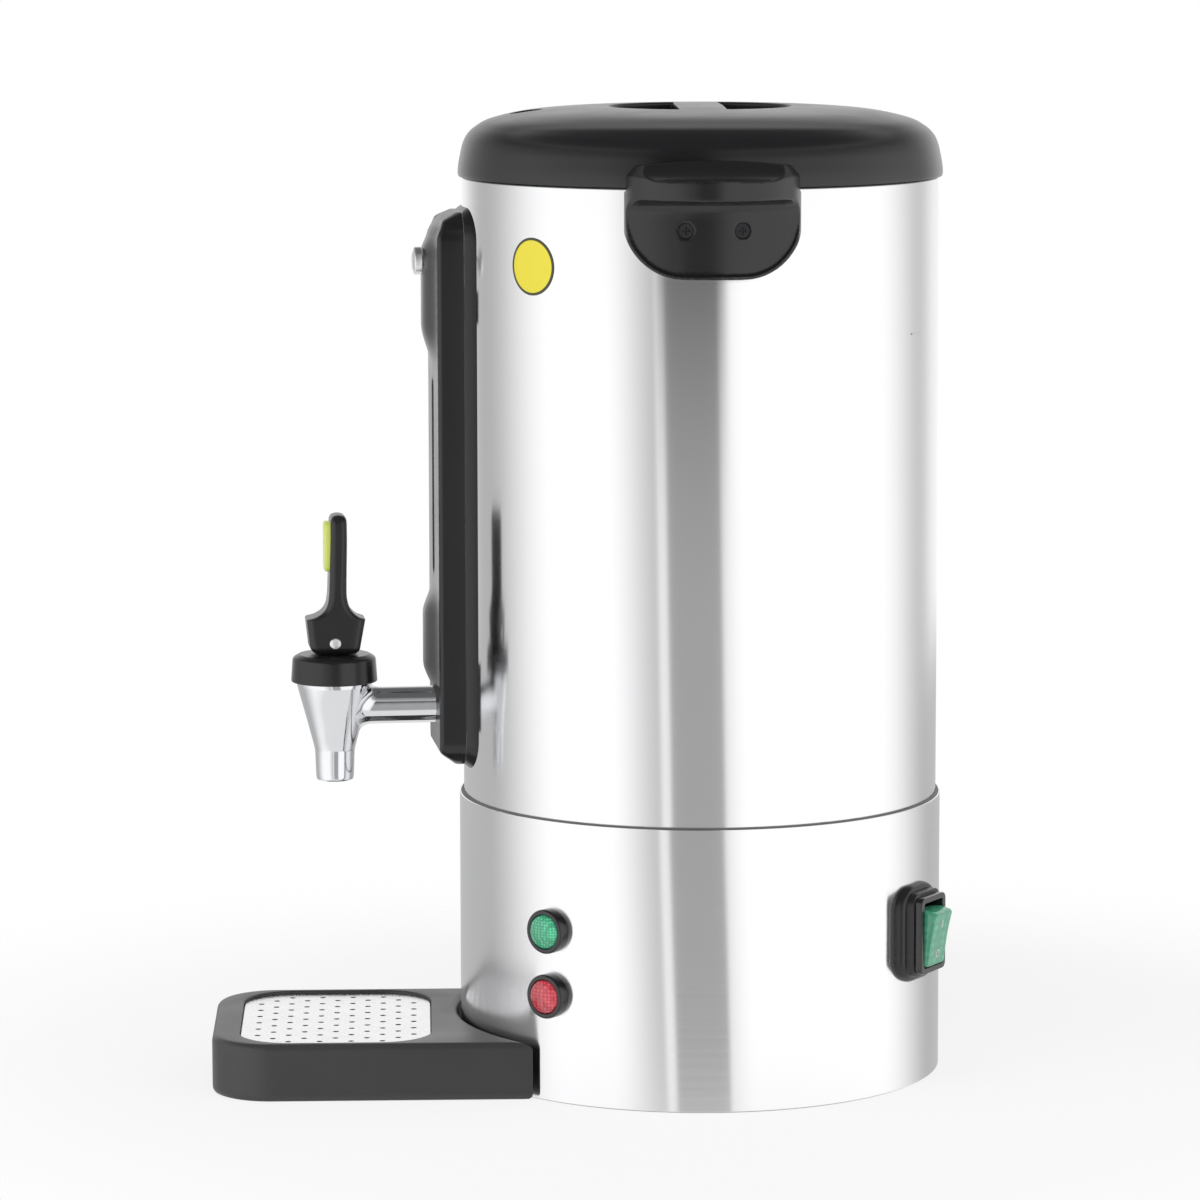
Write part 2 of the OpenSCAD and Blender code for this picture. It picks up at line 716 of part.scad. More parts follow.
module seat_cup() color(silicone) at_tap() difference() {
  rotate_extrude() polygon([
    [0, seat_z + 0.05], [7.2, seat_z + 0.05], [7.6, seat_z + 1], [7.4, seat_z + 5.05],
    [0, seat_z + 5.05]]);
  translate([0, 0, seat_z + 2.05]) cylinder(r = stem_r, h = 10);
}

module tap_lever() color(black) at_tap() difference() {
  intersection() {
    slab_y(lever_w) {
      polygon([
        [heel_x, heel_z], [8.4, heel_z], [11.8, heel_z + 3.4], [14.2, heel_z + 16.4],
        [11, heel_z + 17.6], [8.6, heel_z + 19.6], [6.6, heel_z + 22.6], [5.6, heel_z + 27],
        [5.9, lever_top - 1.5], [4.6, lever_top], [-0.3, lever_top], [-1.6, lever_top - 1.5],
        [-2.6, heel_z + 27], [-3.4, heel_z + 22.6], [-5.4, heel_z + 19.6],
        [-8.6, heel_z + 17.6], [-13, heel_z + 16.4], [heel_x - heel_r, heel_z + heel_r]]);
      translate([heel_x, heel_z + heel_r]) circle(r = heel_r);
      translate([8.4, heel_z + 3.4]) circle(r = 3.4);
    }
    translate([0, 0, (heel_z + lever_top) / 2])
      face_plate(-20, 20, lever_w, lever_top - heel_z + 0.4, 4);
  }
  // slot for the eye of the stem
  translate([-7.4, -4 - free_gap, heel_z - 1]) cube([7.4, 8 + 2 * free_gap, pin_z - heel_z + 4]);
  translate([-0.5, -4 - free_gap, heel_z - 1]) cube([6.1, 8 + 2 * free_gap, pin_z - heel_z + 1]);
  translate([0, 0, pin_z]) rod_y(-4 - free_gap, 4 + free_gap, eye_r + 0.5);
  translate([0, 0, pin_z]) rod_y(-20, 20, pin_r);
  // seat of the colour pad
  translate([0, 0, lever_top - 15]) face_plate(-5, -1.2, 13, 23, 3);
}

module lever_pin() color(chrome) at_tap() translate([0, 0, pin_z])
  rod_y(-lever_w / 2 - 0.3, lever_w / 2 + 0.3, pin_r);

module lever_pad() color([0.74, 0.82, 0.34]) at_tap()
  translate([0, 0, lever_top - 15]) face_plate(-4.4, -1.2, 13, 23, 3);

// ---- lid ---------------------------------------------------------------------

module lid_shell() color(black) difference() {
  rotate_extrude() polygon([
    [plug_r + 2, lid_z], [lid_r, lid_z], [lid_r + 0.3, lid_z + 1.5], [lid_r, lid_z + 5],
    [lid_r - 0.8, lid_z + 9], [lid_r - 1.9, lid_z + 14.8], [lid_r - 3.8, lid_z + 18.6],
    [lid_r - 7.8, lid_z + 22.4], [lid_r - 14.8, lid_z + 26.2], [lid_r - 30, lid_z + 29.4],
    [lid_r - 50, lid_z + 31.2], [lid_r - 75, lid_top - 0.4], [0, lid_top],
    [0, ceil_z], [lid_r - 45, ceil_z], [lid_r - 30, lid_z + 26.8], [lid_r - 16, lid_z + 23.7],
    [lid_r - 9.6, lid_z + 20.2], [lid_r - 6.2, lid_z + 17.4], [lid_r - 4.3, lid_z + 14],
    [lid_r - 3.2, lid_z + 8], [lid_r - 2.9, lid_z + 3], [plug_r + 2, lid_z + 3]]);
  difference() {
    translate([0, 0, lid_z + 4]) cylinder(r = recess_r, h = 60);
    translate([-bar_w / 2, -recess_r - 5, lid_z]) cube([bar_w, 2 * recess_r + 10, 60]);
  }
  translate([vent_x, 0, lid_z + 10]) cylinder(r = 7, h = 60);
  around(3, lid_screw_r, 0) translate([0, 0, ceil_z - 1]) cylinder(r = 1.6, h = 2.4);
}

module lid_liner() color([0.16, 0.16, 0.17]) difference() {
  union() {
    rotate_extrude() polygon([
      [0, cup_z], [recess_r + 2, cup_z], [recess_r + 2, ceil_z], [recess_r, ceil_z],
      [recess_r, cup_z + 2], [0, cup_z + 2]]);
    rotate_extrude() polygon([
      [recess_r, cup_z], [plug_r - 4, liner_z], [plug_r, liner_z], [plug_r, lid_z + 3],
      [flange_r, lid_z + 3], [flange_r, lid_z + 5], [plug_r - 2, lid_z + 5],
      [plug_r - 2, liner_z + 2], [plug_r - 4.6, liner_z + 2], [recess_r, cup_z + 2]]);
    translate([vent_x, 0, cup_z - 6]) cylinder(r = 9, h = 16);
    around(3, lid_screw_r, 0) translate([0, 0, lid_screw_z]) cylinder(r = 4, h = ceil_z - lid_screw_z);
  }
  translate([vent_x, 0, cup_z - 8]) cylinder(r = 2.5, h = 40);
  translate([vent_x, 0, cup_z + 2]) cylinder(r = 7, h = 40);
  around(3, lid_screw_r, 0) translate([0, 0, lid_screw_z - 1]) cylinder(r = 1.6, h = 40);
}

module lid_seal() color(silicone) ring(plug_r + 0.4, plug_r, liner_z + 1.5, liner_z + 5);

module lid_screws() color(steel) around(3, lid_screw_r, 0) {
  translate([0, 0, lid_screw_z - 2.2]) cylinder(r = 3, h = 2.2);
  translate([0, 0, lid_screw_z]) cylinder(r = 1.6, h = ceil_z + 1.4 - lid_screw_z);
}

// ---- percolator insert ---------------------------------------------------------

module riser_tube() color(steel) {
  ring(riser_r, riser_r - 0.8, bell_z + 1.5, riser_top);
  ring(riser_r + 3, riser_r, basket_z - 4, basket_z);
}

module pump_bell() color(steel) difference() {
  rotate_extrude() polygon([
    [riser_r, bell_z + 4], [riser_r, bell_z + 22], [riser_r + 3, bell_z + 22],
    [riser_r + 5, bell_z + 10], [well_r - 4, bell_z + 4], [well_r - 4, bell_z],
    [well_r - 5, bell_z], [well_r - 5, bell_z + 3], [riser_r + 4, bell_z + 9],
    [riser_r + 3, bell_z + 4]]);
  for (a = [0 : 60 : 150]) rotate([0, 0, a]) translate([0, 0, bell_z]) rod_x(-40, 40, 1.2);
}

module basket() color(steel) difference() {
  union() {
    ring(basket_r, basket_r - 0.8, basket_z, basket_z + basket_h);
    translate([0, 0, basket_z]) cylinder(r = basket_r - 0.4, h = 0.8);
    ring(riser_r + 2.4, riser_r + run_fit * 2, basket_z, basket_z + basket_h - 4);
    ring(basket_r + 1.2, basket_r - 0.4, basket_z + basket_h - 2, basket_z + basket_h);
  }
  translate([0, 0, basket_z - 1]) cylinder(r = riser_r + run_fit * 2, h = 20);
  for (k = [0 : 2]) around(12 + 6 * k, 18 + 14 * k, 7 * k) translate([0, 0, basket_z - 1])
    cylinder(r = 1.3, h = 3, $fn = 16);
}

module basket_cover() color(steel) difference() {
  union() {
    translate([0, 0, cover_z]) cylinder(r = basket_r + 1.2, h = 1);
    ring(riser_r + 1.4, riser_r + run_fit * 2, cover_z - 3, cover_z + 10);
    ring(basket_r - 1, basket_r - 1.8, cover_z - 6, cover_z + 0.5);
  }
  translate([0, 0, cover_z - 1]) cylinder(r = riser_r + run_fit * 2, h = 8);
  for (k = [0 : 2]) around(10 + 6 * k, 16 + 12 * k, 5 * k) translate([0, 0, cover_z - 1])
    cylinder(r = 1.3, h = 6, $fn = 16);
}

// ---- drip tray -----------------------------------------------------------------

// Outline of the tray with the concave end cut to clear the skirt.
module tray_outline(inset) difference() {
  translate([-(tray_front + tray_back) / 2, -tray_shift])
    round_rect(tray_front - tray_back - 2 * inset, tray_w - 2 * inset, 28 - inset);
  translate([cut_x, 0]) circle(r = cut_r + inset, $fn = 180);
}

module tray_body() color(black) difference() {
  union() {
    linear_extrude(1) tray_outline(1.2);
    translate([0, 0, 1]) linear_extrude(tray_h - 4) tray_outline(0);
    translate([0, 0, tray_h - 3]) linear_extrude(1.6) tray_outline(0.9);
    translate([0, 0, tray_h - 1.4]) linear_extrude(1.4) tray_outline(2.6);
  }
  translate([plate_x, -tray_shift, plate_seat]) linear_extrude(20)
    round_rect(plate_l + 0.6, plate_w + 0.6 - 4, plate_r + 0.3);
  translate([plate_x, -tray_shift, 3]) linear_extrude(60)
    round_rect(plate_l - 2 * ledge, plate_w - 4 - 2 * ledge, plate_r - ledge);
}

module tray_plate() color(steel) translate([plate_x, -tray_shift, plate_seat]) difference() {
  linear_extrude(1.2) round_rect(plate_l, plate_w - 4, plate_r);
  for (i = [-6 : 6], j = [-8 : 8])
    if ((i + j) % 2 == 0 && hole_ok(i, j))
      translate([i * hole_pitch, j * hole_pitch * 0.96, -1]) cylinder(r = hole_d / 2, h = 4, $fn = 16);
}

// Keeps the drain holes clear of the round corners of the plate.
function hole_ok(i, j) =
  let (x = abs(i) * hole_pitch, y = abs(j) * hole_pitch * 0.96,
       cx = plate_l / 2 - plate_r, cy = (plate_w - 4) / 2 - plate_r,
       m = ledge + 2)
  x < plate_l / 2 - m && y < (plate_w - 4) / 2 - m &&
  (x < cx || y < cy || norm([x - cx, y - cy]) < plate_r - m);

// ---- assembly --------------------------------------------------------------------

skirt_shell();
seam_ring();
base_plate();
foot_ring();
base_screws();
tie_posts();
cord_gland();
gland_nut();
terminal_block();
wiring();
heater_plate();
brew_element();
warm_element();
thermostat();
thermal_cutout();
lamp_bezels();
green_lens();
red_lens();
lamp_nuts();
switch_surround();
switch_body();
switch_rocker();
tank_shell();
tank_floor();
heat_dot();
handle_near();
handle_far();
handle_screws();
handle_nuts();
gauge_frame();
gauge_cover();
gauge_cap();
gauge_nut();
gauge_block();
gauge_plug();
gauge_seals();
sight_tube();
tap_body();
tap_washers();
tap_nut();
tap_bonnet();
tap_spring();
tap_stem();
seat_cup();
tap_lever();
lever_pin();
lever_pad();
lid_shell();
lid_liner();
lid_seal();
lid_screws();
riser_tube();
pump_bell();
basket();
basket_cover();
tray_body();
tray_plate();
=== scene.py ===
"""Coffee percolator urn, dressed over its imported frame.

Lengths are in millimetres in the part's own frame: Z is the tank's axis, z = 0 the table,
-X the tap side and -Y the near handle. Sizes that the frame holds are read from it.
"""

from __future__ import annotations

import logging
import math
from dataclasses import dataclass, field
from enum import Enum
from typing import Callable, Iterable, Sequence

import bmesh
import bpy
from mathutils import Matrix, Vector
from mathutils.geometry import delaunay_2d_cdt


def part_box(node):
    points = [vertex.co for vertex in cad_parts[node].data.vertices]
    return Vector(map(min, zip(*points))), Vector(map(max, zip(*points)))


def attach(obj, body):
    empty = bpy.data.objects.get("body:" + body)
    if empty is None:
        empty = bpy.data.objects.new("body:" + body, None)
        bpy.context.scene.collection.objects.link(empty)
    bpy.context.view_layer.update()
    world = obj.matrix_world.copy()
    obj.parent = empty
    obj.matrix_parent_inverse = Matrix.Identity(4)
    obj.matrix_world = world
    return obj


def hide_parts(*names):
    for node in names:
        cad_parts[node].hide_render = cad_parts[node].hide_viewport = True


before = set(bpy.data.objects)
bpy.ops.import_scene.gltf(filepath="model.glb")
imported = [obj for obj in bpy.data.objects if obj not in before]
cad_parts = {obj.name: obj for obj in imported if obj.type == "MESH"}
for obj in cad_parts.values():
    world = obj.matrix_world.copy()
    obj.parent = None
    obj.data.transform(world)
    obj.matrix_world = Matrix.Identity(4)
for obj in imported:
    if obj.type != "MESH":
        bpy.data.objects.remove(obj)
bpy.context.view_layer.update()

LOG = logging.getLogger("urn")
MM = 0.001
FINE = 288  # steps in the turn of a large sheet piece
Flat = list[tuple[float, float]]
Colour = tuple[float, float, float]


class Body(str, Enum):
    """Bodies of the frame that a piece can ride on."""

    URN = "urn"
    LID = "lid"
    INSERT = "insert"
    STEM = "stem"
    LEVER = "lever"
    ROCKER = "rocker"
    TRAY = "tray"
    PLATE = "drip_plate"


class Slot(str, Enum):
    """Material slots of the record."""

    POLISHED = "polished_steel"
    INNER = "inner_steel"
    FASTENER = "fasteners"
    CHROME = "chrome"
    BLACK = "black_plastic"
    INNER_PLASTIC = "inner_plastic"
    GLOSS = "gloss_black"
    GREEN = "green_clear"
    RED = "red_clear"
    YELLOW = "yellow_print"
    LIME = "lime_pad"
    RUBBER = "rubber"
    SILICONE = "silicone"
    TUBE = "clear_tube"
    ALUMINIUM = "cast_alu"
    BRASS = "brass"
    TERMINAL = "terminal_plastic"
    WIRE = "wire_cover"


# ---- shader wiring -------------------------------------------------------------------


class Graph:
    """Adds and links the nodes of one node tree."""

    def __init__(self, tree: bpy.types.NodeTree) -> None:
        """Starts with an empty tree.

        Args:
            tree: the tree to fill.
        """
        self.tree = tree
        tree.nodes.clear()

    def node(self, kind: str, sockets: dict | None = None, **settings: object) -> bpy.types.Node:
        """Adds a node.

        Args:
            kind: its type name.
            sockets: input name or number, with a value or the socket to link from.
            settings: the node's own properties.

        Returns:
            The new node.
        """
        made = self.tree.nodes.new(kind)
        for name, value in settings.items():
            setattr(made, name, value)
        for key, value in (sockets or {}).items():
            if isinstance(value, bpy.types.NodeSocket):
                self.tree.links.new(value, made.inputs[key])
            else:
                made.inputs[key].default_value = value
        return made

    def math(self, how: str, a: object, b: object = 0.0) -> bpy.types.NodeSocket:
        """Output of a Math node."""
        return self.node("ShaderNodeMath", {0: a, 1: b}, operation=how).outputs[0]

    def times(self, a: object, b: object) -> bpy.types.NodeSocket:
        """Product of two values."""
        return self.math("MULTIPLY", a, b)

    def blend(self, amount: object, a: bpy.types.Node, b: bpy.types.Node) -> bpy.types.Node:
        """Mixes two shaders by an amount from 0 to 1."""
        return self.node("ShaderNodeMixShader", {0: amount, 1: a.outputs[0], 2: b.outputs[0]})

    def spread(self, value: object, low: float, high: float, to_low: float, to_high: float) -> bpy.types.NodeSocket:
        """Maps a value smoothly from one range to another."""
        sockets = {"Value": value, "From Min": low, "From Max": high, "To Min": to_low, "To Max": to_high}
        return self.node("ShaderNodeMapRange", sockets, interpolation_type="SMOOTHSTEP").outputs[0]

    def point(self) -> bpy.types.NodeSocket:
        """Position on the piece, in metres."""
        return self.node("ShaderNodeTexCoord").outputs["Object"]

    def noise(self, where: object, scale: float, detail: float = 3.0) -> bpy.types.NodeSocket:
        """Output of a Noise node at a position."""
        sockets = {"Vector": where, "Scale": scale, "Detail": detail, "Roughness": 0.55}
        return self.node("ShaderNodeTexNoise", sockets).outputs[0]

    def tint(self, amount: object, dark: Colour, light: Colour) -> bpy.types.NodeSocket:
        """Colour between two, by an amount from 0 to 1."""
        mix = self.node("ShaderNodeMix", {"Factor": amount}, data_type="RGBA")
        mix.inputs[6].default_value = (*dark, 1)
        mix.inputs[7].default_value = (*light, 1)
        return mix.outputs[2]

    def bump(self, height: object, strength: float, depth_mm: float) -> bpy.types.NodeSocket:
        """Normal of a fine relief."""
        sockets = {"Height": height, "Strength": strength, "Distance": depth_mm * MM}
        return self.node("ShaderNodeBump", sockets).outputs[0]


def new_material(name: str) -> tuple[bpy.types.Material, Graph]:
    """An empty material and the graph of its nodes."""
    made = bpy.data.materials.new(name)
    made.use_nodes = True
    return made, Graph(made.node_tree)


def scaled(colour: Colour, by: float) -> Colour:
    """A colour made darker or lighter."""
    return tuple(min(1.0, c * by) for c in colour)


# ---- finishes ------------------------------------------------------------------------


@dataclass(frozen=True)
class Finish:
    """A surface finish: its record slot, its colour and how rough it is."""

    name: str
    slot: Slot
    colour: Colour
    roughness: float

    def material(self) -> bpy.types.Material:
        """The material, made once."""
        found = bpy.data.materials.get(self.name)
        if found:
            return found
        made, graph = new_material(self.name)
        surface = graph.node("ShaderNodeBsdfPrincipled", self.sockets(graph))
        graph.node("ShaderNodeOutputMaterial", {"Surface": surface.outputs[0]})
        return made

    def sockets(self, graph: Graph) -> dict[str, object]:
        """Inputs of the finish's shader, wired in the graph."""
        raise NotImplementedError


@dataclass(frozen=True)
class RolledSteel(Finish):
    """Polished sheet, rolled round the tank, with a fine grain that runs round it."""

    stretch: float = 0.92
    grain: float = 0.035

    def sockets(self, graph: Graph) -> dict[str, object]:
        """Steel whose reflections are drawn out upright by the grain."""
        split = graph.node("ShaderNodeSeparateXYZ", {0: graph.point()})
        turn = graph.math("ARCTAN2", split.outputs[1], split.outputs[0])
        lined = graph.node("ShaderNodeCombineXYZ", {0: turn, 2: graph.times(split.outputs[2], 900.0)})
        lines = graph.noise(lined.outputs[0], 1.6, 4.0)
        cloud = graph.noise(graph.point(), 9.0, 2.0)
        shade = graph.math("ADD", graph.times(lines, 0.7), graph.times(cloud, 0.3))
        return {
            "Base Color": graph.tint(shade, scaled(self.colour, 1 - self.grain), scaled(self.colour, 1 + self.grain)),
            "Metallic": 1.0,
            "Roughness": graph.spread(lines, 0.2, 0.8, self.roughness * 0.88, self.roughness * 1.12),
            "Anisotropic": self.stretch,
            "Anisotropic Rotation": 0.25,
            "Tangent": graph.node("ShaderNodeTangent", direction_type="RADIAL", axis="Z").outputs[0],
            "Normal": graph.bump(lines, 0.03, 0.02),
        }


@dataclass(frozen=True)
class PlainMetal(Finish):
    """Plain, plated or cast metal with fine marks."""

    marks: float = 400.0
    relief: float = 0.05

    def sockets(self, graph: Graph) -> dict[str, object]:
        """Metal with a fine uneven polish."""
        fine = graph.noise(graph.point(), self.marks)
        broad = graph.noise(graph.point(), self.marks / 12, 2.0)
        return {
            "Base Color": graph.tint(broad, scaled(self.colour, 0.93), scaled(self.colour, 1.05)),
            "Metallic": 1.0,
            "Roughness": graph.spread(fine, 0.25, 0.75, self.roughness * 0.75, self.roughness * 1.3),
            "Normal": graph.bump(fine, self.relief, 0.05),
        }


@dataclass(frozen=True)
class Moulding(Finish):
    """Moulded plastic or rubber with the fine spark-eroded skin of its mould."""

    skin: float = 2600.0
    relief: float = 0.10
    coat: float = 0.0

    def sockets(self, graph: Graph) -> dict[str, object]:
        """Plastic with a fine skin, a little uneven in colour and gloss."""
        fine = graph.noise(graph.point(), self.skin, 2.0)
        broad = graph.noise(graph.point(), 24.0, 3.0)
        return {
            "Base Color": graph.tint(broad, scaled(self.colour, 0.88), scaled(self.colour, 1.14)),
            "Roughness": graph.spread(broad, 0.3, 0.7, self.roughness * 0.92, self.roughness * 1.08),
            "Normal": graph.bump(fine, self.relief, 0.05),
            "Coat Weight": self.coat,
            "Coat Roughness": 0.08,
        }


@dataclass(frozen=True)
class ClearColour(Finish):
    """Clear coloured plastic with moulded cells inside, with a painted highlight in each cell, painted shade between
    the cells and a painted glow.
    """

    # depth is the painted shade colour between the cells
    depth: Colour = (0.0, 0.1, 0.05)
    cell_mm: float = 1.3
    clear: float = 0.35
    # glow is the strength of a painted glow, though the part is no lit lamp
    glow: float = 0.25

    def sockets(self, graph: Graph) -> dict[str, object]:
        """Clear plastic with a painted highlight in each cell and painted shade between them, unevened by a broad
        random tone, and the same colours given a painted glow.
        """
        sockets = {"Vector": graph.point(), "Scale": 1 / (self.cell_mm * MM), "Randomness": 0.15}
        cells = graph.node("ShaderNodeTexVoronoi", sockets).outputs["Distance"]
        broad = graph.noise(graph.point(), 180.0, 2.0)
        # painted highlight at the middle of each cell, painted shade at its edges
        cell_highlight = graph.spread(cells, 0.15, 0.6, 1.0, 0.25)
        light = graph.times(cell_highlight, graph.spread(broad, 0.3, 0.7, 0.7, 1.0))
        shade = graph.tint(light, self.depth, self.colour)
        return {
            "Base Color": shade,
            "Roughness": graph.spread(broad, 0.3, 0.7, self.roughness * 0.8, self.roughness * 1.2),
            "IOR": 1.49,
            "Transmission Weight": self.clear,
            "Coat Weight": 0.6,
            "Coat Roughness": 0.04,
            # painted glow in the same painted colours
            "Emission Color": shade,
            "Emission Strength": self.glow,
            "Normal": graph.bump(cells, 0.15, 0.1),
        }


@dataclass(frozen=True)
class ClearTube(Finish):
    """Clear tube with faint draw lines."""

    def sockets(self, graph: Graph) -> dict[str, object]:
        """Clear glass-like plastic."""
        lines = graph.noise(graph.point(), 350.0, 2.0)
        return {
            "Base Color": graph.tint(lines, scaled(self.colour, 0.96), self.colour),
            "Roughness": graph.spread(lines, 0.3, 0.7, self.roughness * 0.6, self.roughness * 1.4),
            "IOR": 1.47,
            "Transmission Weight": 0.92,
        }


@dataclass(frozen=True)
class RimmedFilm(Finish):
    """Printed film: one plain colour inside a dark rim."""

    centre: tuple[float, float, float] = (0.0, 0.0, 0.0)
    radius: float = 13.0
    rim: float = 1.1

    def sockets(self, graph: Graph) -> dict[str, object]:
        """A plain disc with a rim, measured from the disc's centre."""
        ends = {0: graph.point(), 1: tuple(c * MM for c in self.centre)}
        away = graph.node("ShaderNodeVectorMath", ends, operation="DISTANCE").outputs["Value"]
        edge = (self.radius - self.rim) * MM
        grain = graph.noise(graph.point(), 900.0, 2.0)
        plain = graph.tint(grain, scaled(self.colour, 0.96), self.colour)
        outside = graph.spread(away, edge - 0.0002, edge, 0.0, 1.0)
        mix = graph.node("ShaderNodeMix", {"Factor": outside}, data_type="RGBA")
        graph.tree.links.new(plain, mix.inputs[6])
        mix.inputs[7].default_value = (0.05, 0.05, 0.02, 1)
        return {
            "Base Color": mix.outputs[2],
            "Roughness": graph.spread(grain, 0.3, 0.7, self.roughness * 0.9, self.roughness * 1.1),
        }


POLISHED = RolledSteel("rolled_polished_steel", Slot.POLISHED, (0.80, 0.80, 0.81), 0.15)
INNER_STEEL = PlainMetal("plain_inner_steel", Slot.INNER, (0.70, 0.70, 0.71), 0.26)
PLATE_STEEL = PlainMetal("punched_plate_steel", Slot.INNER, (0.90, 0.90, 0.91), 0.24, 900.0, 0.03)
ZINC = PlainMetal("plated_fastener", Slot.FASTENER, (0.60, 0.60, 0.62), 0.32)
CHROME = PlainMetal("bright_chrome", Slot.CHROME, (0.74, 0.75, 0.77), 0.08, 220.0, 0.01)
DARK_SCREW = PlainMetal("blackened_screw", Slot.FASTENER, (0.05, 0.05, 0.053), 0.36, 900.0, 0.08)
SATIN_CAP = PlainMetal("satin_chrome_cap", Slot.CHROME, (0.78, 0.78, 0.79), 0.34, 700.0, 0.04)
BLACK = Moulding("satin_black_moulding", Slot.BLACK, (0.008, 0.008, 0.009), 0.25)
BLACK_FINE = Moulding("fine_black_moulding", Slot.BLACK, (0.010, 0.010, 0.011), 0.28, 3200.0, 0.06)
TRAY_BLACK = Moulding("tray_black_moulding", Slot.BLACK, (0.040, 0.040, 0.041), 0.36)
INNER_BLACK = Moulding("inner_black_moulding", Slot.INNER_PLASTIC, (0.012, 0.012, 0.013), 0.55)
GLOSS_BLACK = Moulding("gloss_black_moulding", Slot.GLOSS, (0.008, 0.008, 0.009), 0.16, 2400.0, 0.02, 0.3)
# The lenses and the rocker take ClearColour: after colour and roughness come the painted shade colour between cells,
# the cell size, the clearness and the painted glow.
GREEN = ClearColour("clear_green_lens", Slot.GREEN, (0.16, 0.80, 0.45), 0.16, (0.01, 0.20, 0.10))
GREEN_ROCKER = ClearColour("clear_green_rocker", Slot.GREEN, (0.13, 0.50, 0.32), 0.18, (0.04, 0.30, 0.17), 4.0, 0.30,
                           0.10)
RED = ClearColour("clear_red_lens", Slot.RED, (0.86, 0.14, 0.17), 0.16, (0.38, 0.01, 0.03), 1.6)
LIME = Moulding("lime_moulding", Slot.LIME, (0.66, 0.76, 0.16), 0.35, 2400.0, 0.05)
SEAM_BAND = Moulding("grey_seam_band", Slot.RUBBER, (0.13, 0.13, 0.13), 0.5, 1500.0, 0.1)
RUBBER = Moulding("black_rubber", Slot.RUBBER, (0.018, 0.018, 0.018), 0.62, 1500.0, 0.15)
SILICONE = Moulding("pale_silicone", Slot.SILICONE, (0.62, 0.60, 0.56), 0.48, 1300.0, 0.08)
TUBE = ClearTube("clear_sight_tube", Slot.TUBE, (0.93, 0.96, 0.97), 0.05)
ALUMINIUM = PlainMetal("cast_aluminium", Slot.ALUMINIUM, (0.62, 0.63, 0.64), 0.48, 260.0, 0.25)
BRASS = PlainMetal("brass_sheet", Slot.BRASS, (0.72, 0.55, 0.26), 0.30)
CERAMIC = Moulding("pale_terminal_block", Slot.TERMINAL, (0.70, 0.68, 0.62), 0.50, 900.0, 0.12)
WIRE_RED = Moulding("wire_cover", Slot.WIRE, (0.42, 0.07, 0.05), 0.45, 1200.0, 0.06)


# ---- mesh making ---------------------------------------------------------------------


def span(node: str) -> tuple[Vector, Vector]:
    """Lowest and highest corner of a frame node, in millimetres."""
    low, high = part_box(node)
    return low * 1000, high * 1000


def middle(node: str) -> Vector:
    """Centre of a frame node's box, in millimetres."""
    low, high = span(node)
    return (low + high) / 2


def turned(degrees: float, radius: float = 0.0, z: float = 0.0) -> Matrix:
    """Frame that stands off the tank's axis: its X points away from the axis."""
    return Matrix.Rotation(math.radians(degrees), 4, "Z") @ Matrix.Translation((radius, 0, z))


def rounded(points: Sequence[tuple[float, float]], radii: Sequence[float], steps: int = 5,
            closed: bool = False) -> Flat:
    """Rounds the corners of a flat line.

    Args:
        points: the corners.
        radii: one radius for each corner; 0 leaves it sharp.
        steps: how many pieces an arc has.
        closed: whether the line is an outline.

    Returns:
        The line with arcs at its corners.
    """
    made: Flat = []
    count = len(points)
    for i, (point, radius) in enumerate(zip(points, radii)):
        here = Vector(point)
        if radius <= 0 or (not closed and i in (0, count - 1)):
            made.append((here.x, here.y))
            continue
        back, on = Vector(points[i - 1]) - here, Vector(points[(i + 1) % count]) - here
        angle = back.angle(on)
        reach = min(radius / math.tan(angle / 2), 0.49 * back.length, 0.49 * on.length)
        radius = reach * math.tan(angle / 2)
        a, b = here + back.normalized() * reach, here + on.normalized() * reach
        centre = here + (back.normalized() + on.normalized()).normalized() * (radius / math.sin(angle / 2))
        first, last = a - centre, b - centre
        sweep = first.angle_signed(last)
        for k in range(steps + 1):
            turn = -sweep * k / steps
            spot = centre + Matrix.Rotation(turn, 2) @ first
            made.append((spot.x, spot.y))
    return made


def eased(points: Sequence[tuple[float, float]], per_span: int = 6) -> Flat:
    """A smooth curve through points."""
    made: Flat = []
    ends = [points[0], *points, points[-1]]
    for i in range(1, len(ends) - 2):
        p0, p1, p2, p3 = (Vector(ends[i + k]) for k in (-1, 0, 1, 2))
        for k in range(per_span):
            t = k / per_span
            spot = 0.5 * (2 * p1 + (p2 - p0) * t + (2 * p0 - 5 * p1 + 4 * p2 - p3) * t * t
                          + (3 * p1 - p0 - 3 * p2 + p3) * t ** 3)
            made.append((spot.x, spot.y))
    made.append(tuple(points[-1]))
    return made


def round_rect(width: float, height: float, radius: float, steps: int = 8, fill: int = 6) -> Flat:
    """Outline of a rectangle with round corners, with the same number of points at any size."""
    made: Flat = []
    for i, (sx, sy) in enumerate(((1, 1), (-1, 1), (-1, -1), (1, -1))):
        cx, cy = sx * (width / 2 - radius), sy * (height / 2 - radius)
        made += arc((cx, cy), radius, 90 * i, 90, steps)
        nx, ny = ((-1, 1), (-1, -1), (1, -1), (1, 1))[i]
        a = math.radians(90 * (i + 1))
        start = made[-1]
        stop = (nx * (width / 2 - radius) + radius * math.cos(a), ny * (height / 2 - radius) + radius * math.sin(a))
        for k in range(1, fill):
            made.append(tuple(s + (e - s) * k / fill for s, e in zip(start, stop)))
    return made


def circle(radius: float, count: int, x: float = 0.0, y: float = 0.0) -> Flat:
    """Points on a circle, from its +X side round."""
    angles = (2 * math.pi * k / count for k in range(count))
    return [(x + radius * math.cos(a), y + radius * math.sin(a)) for a in angles]


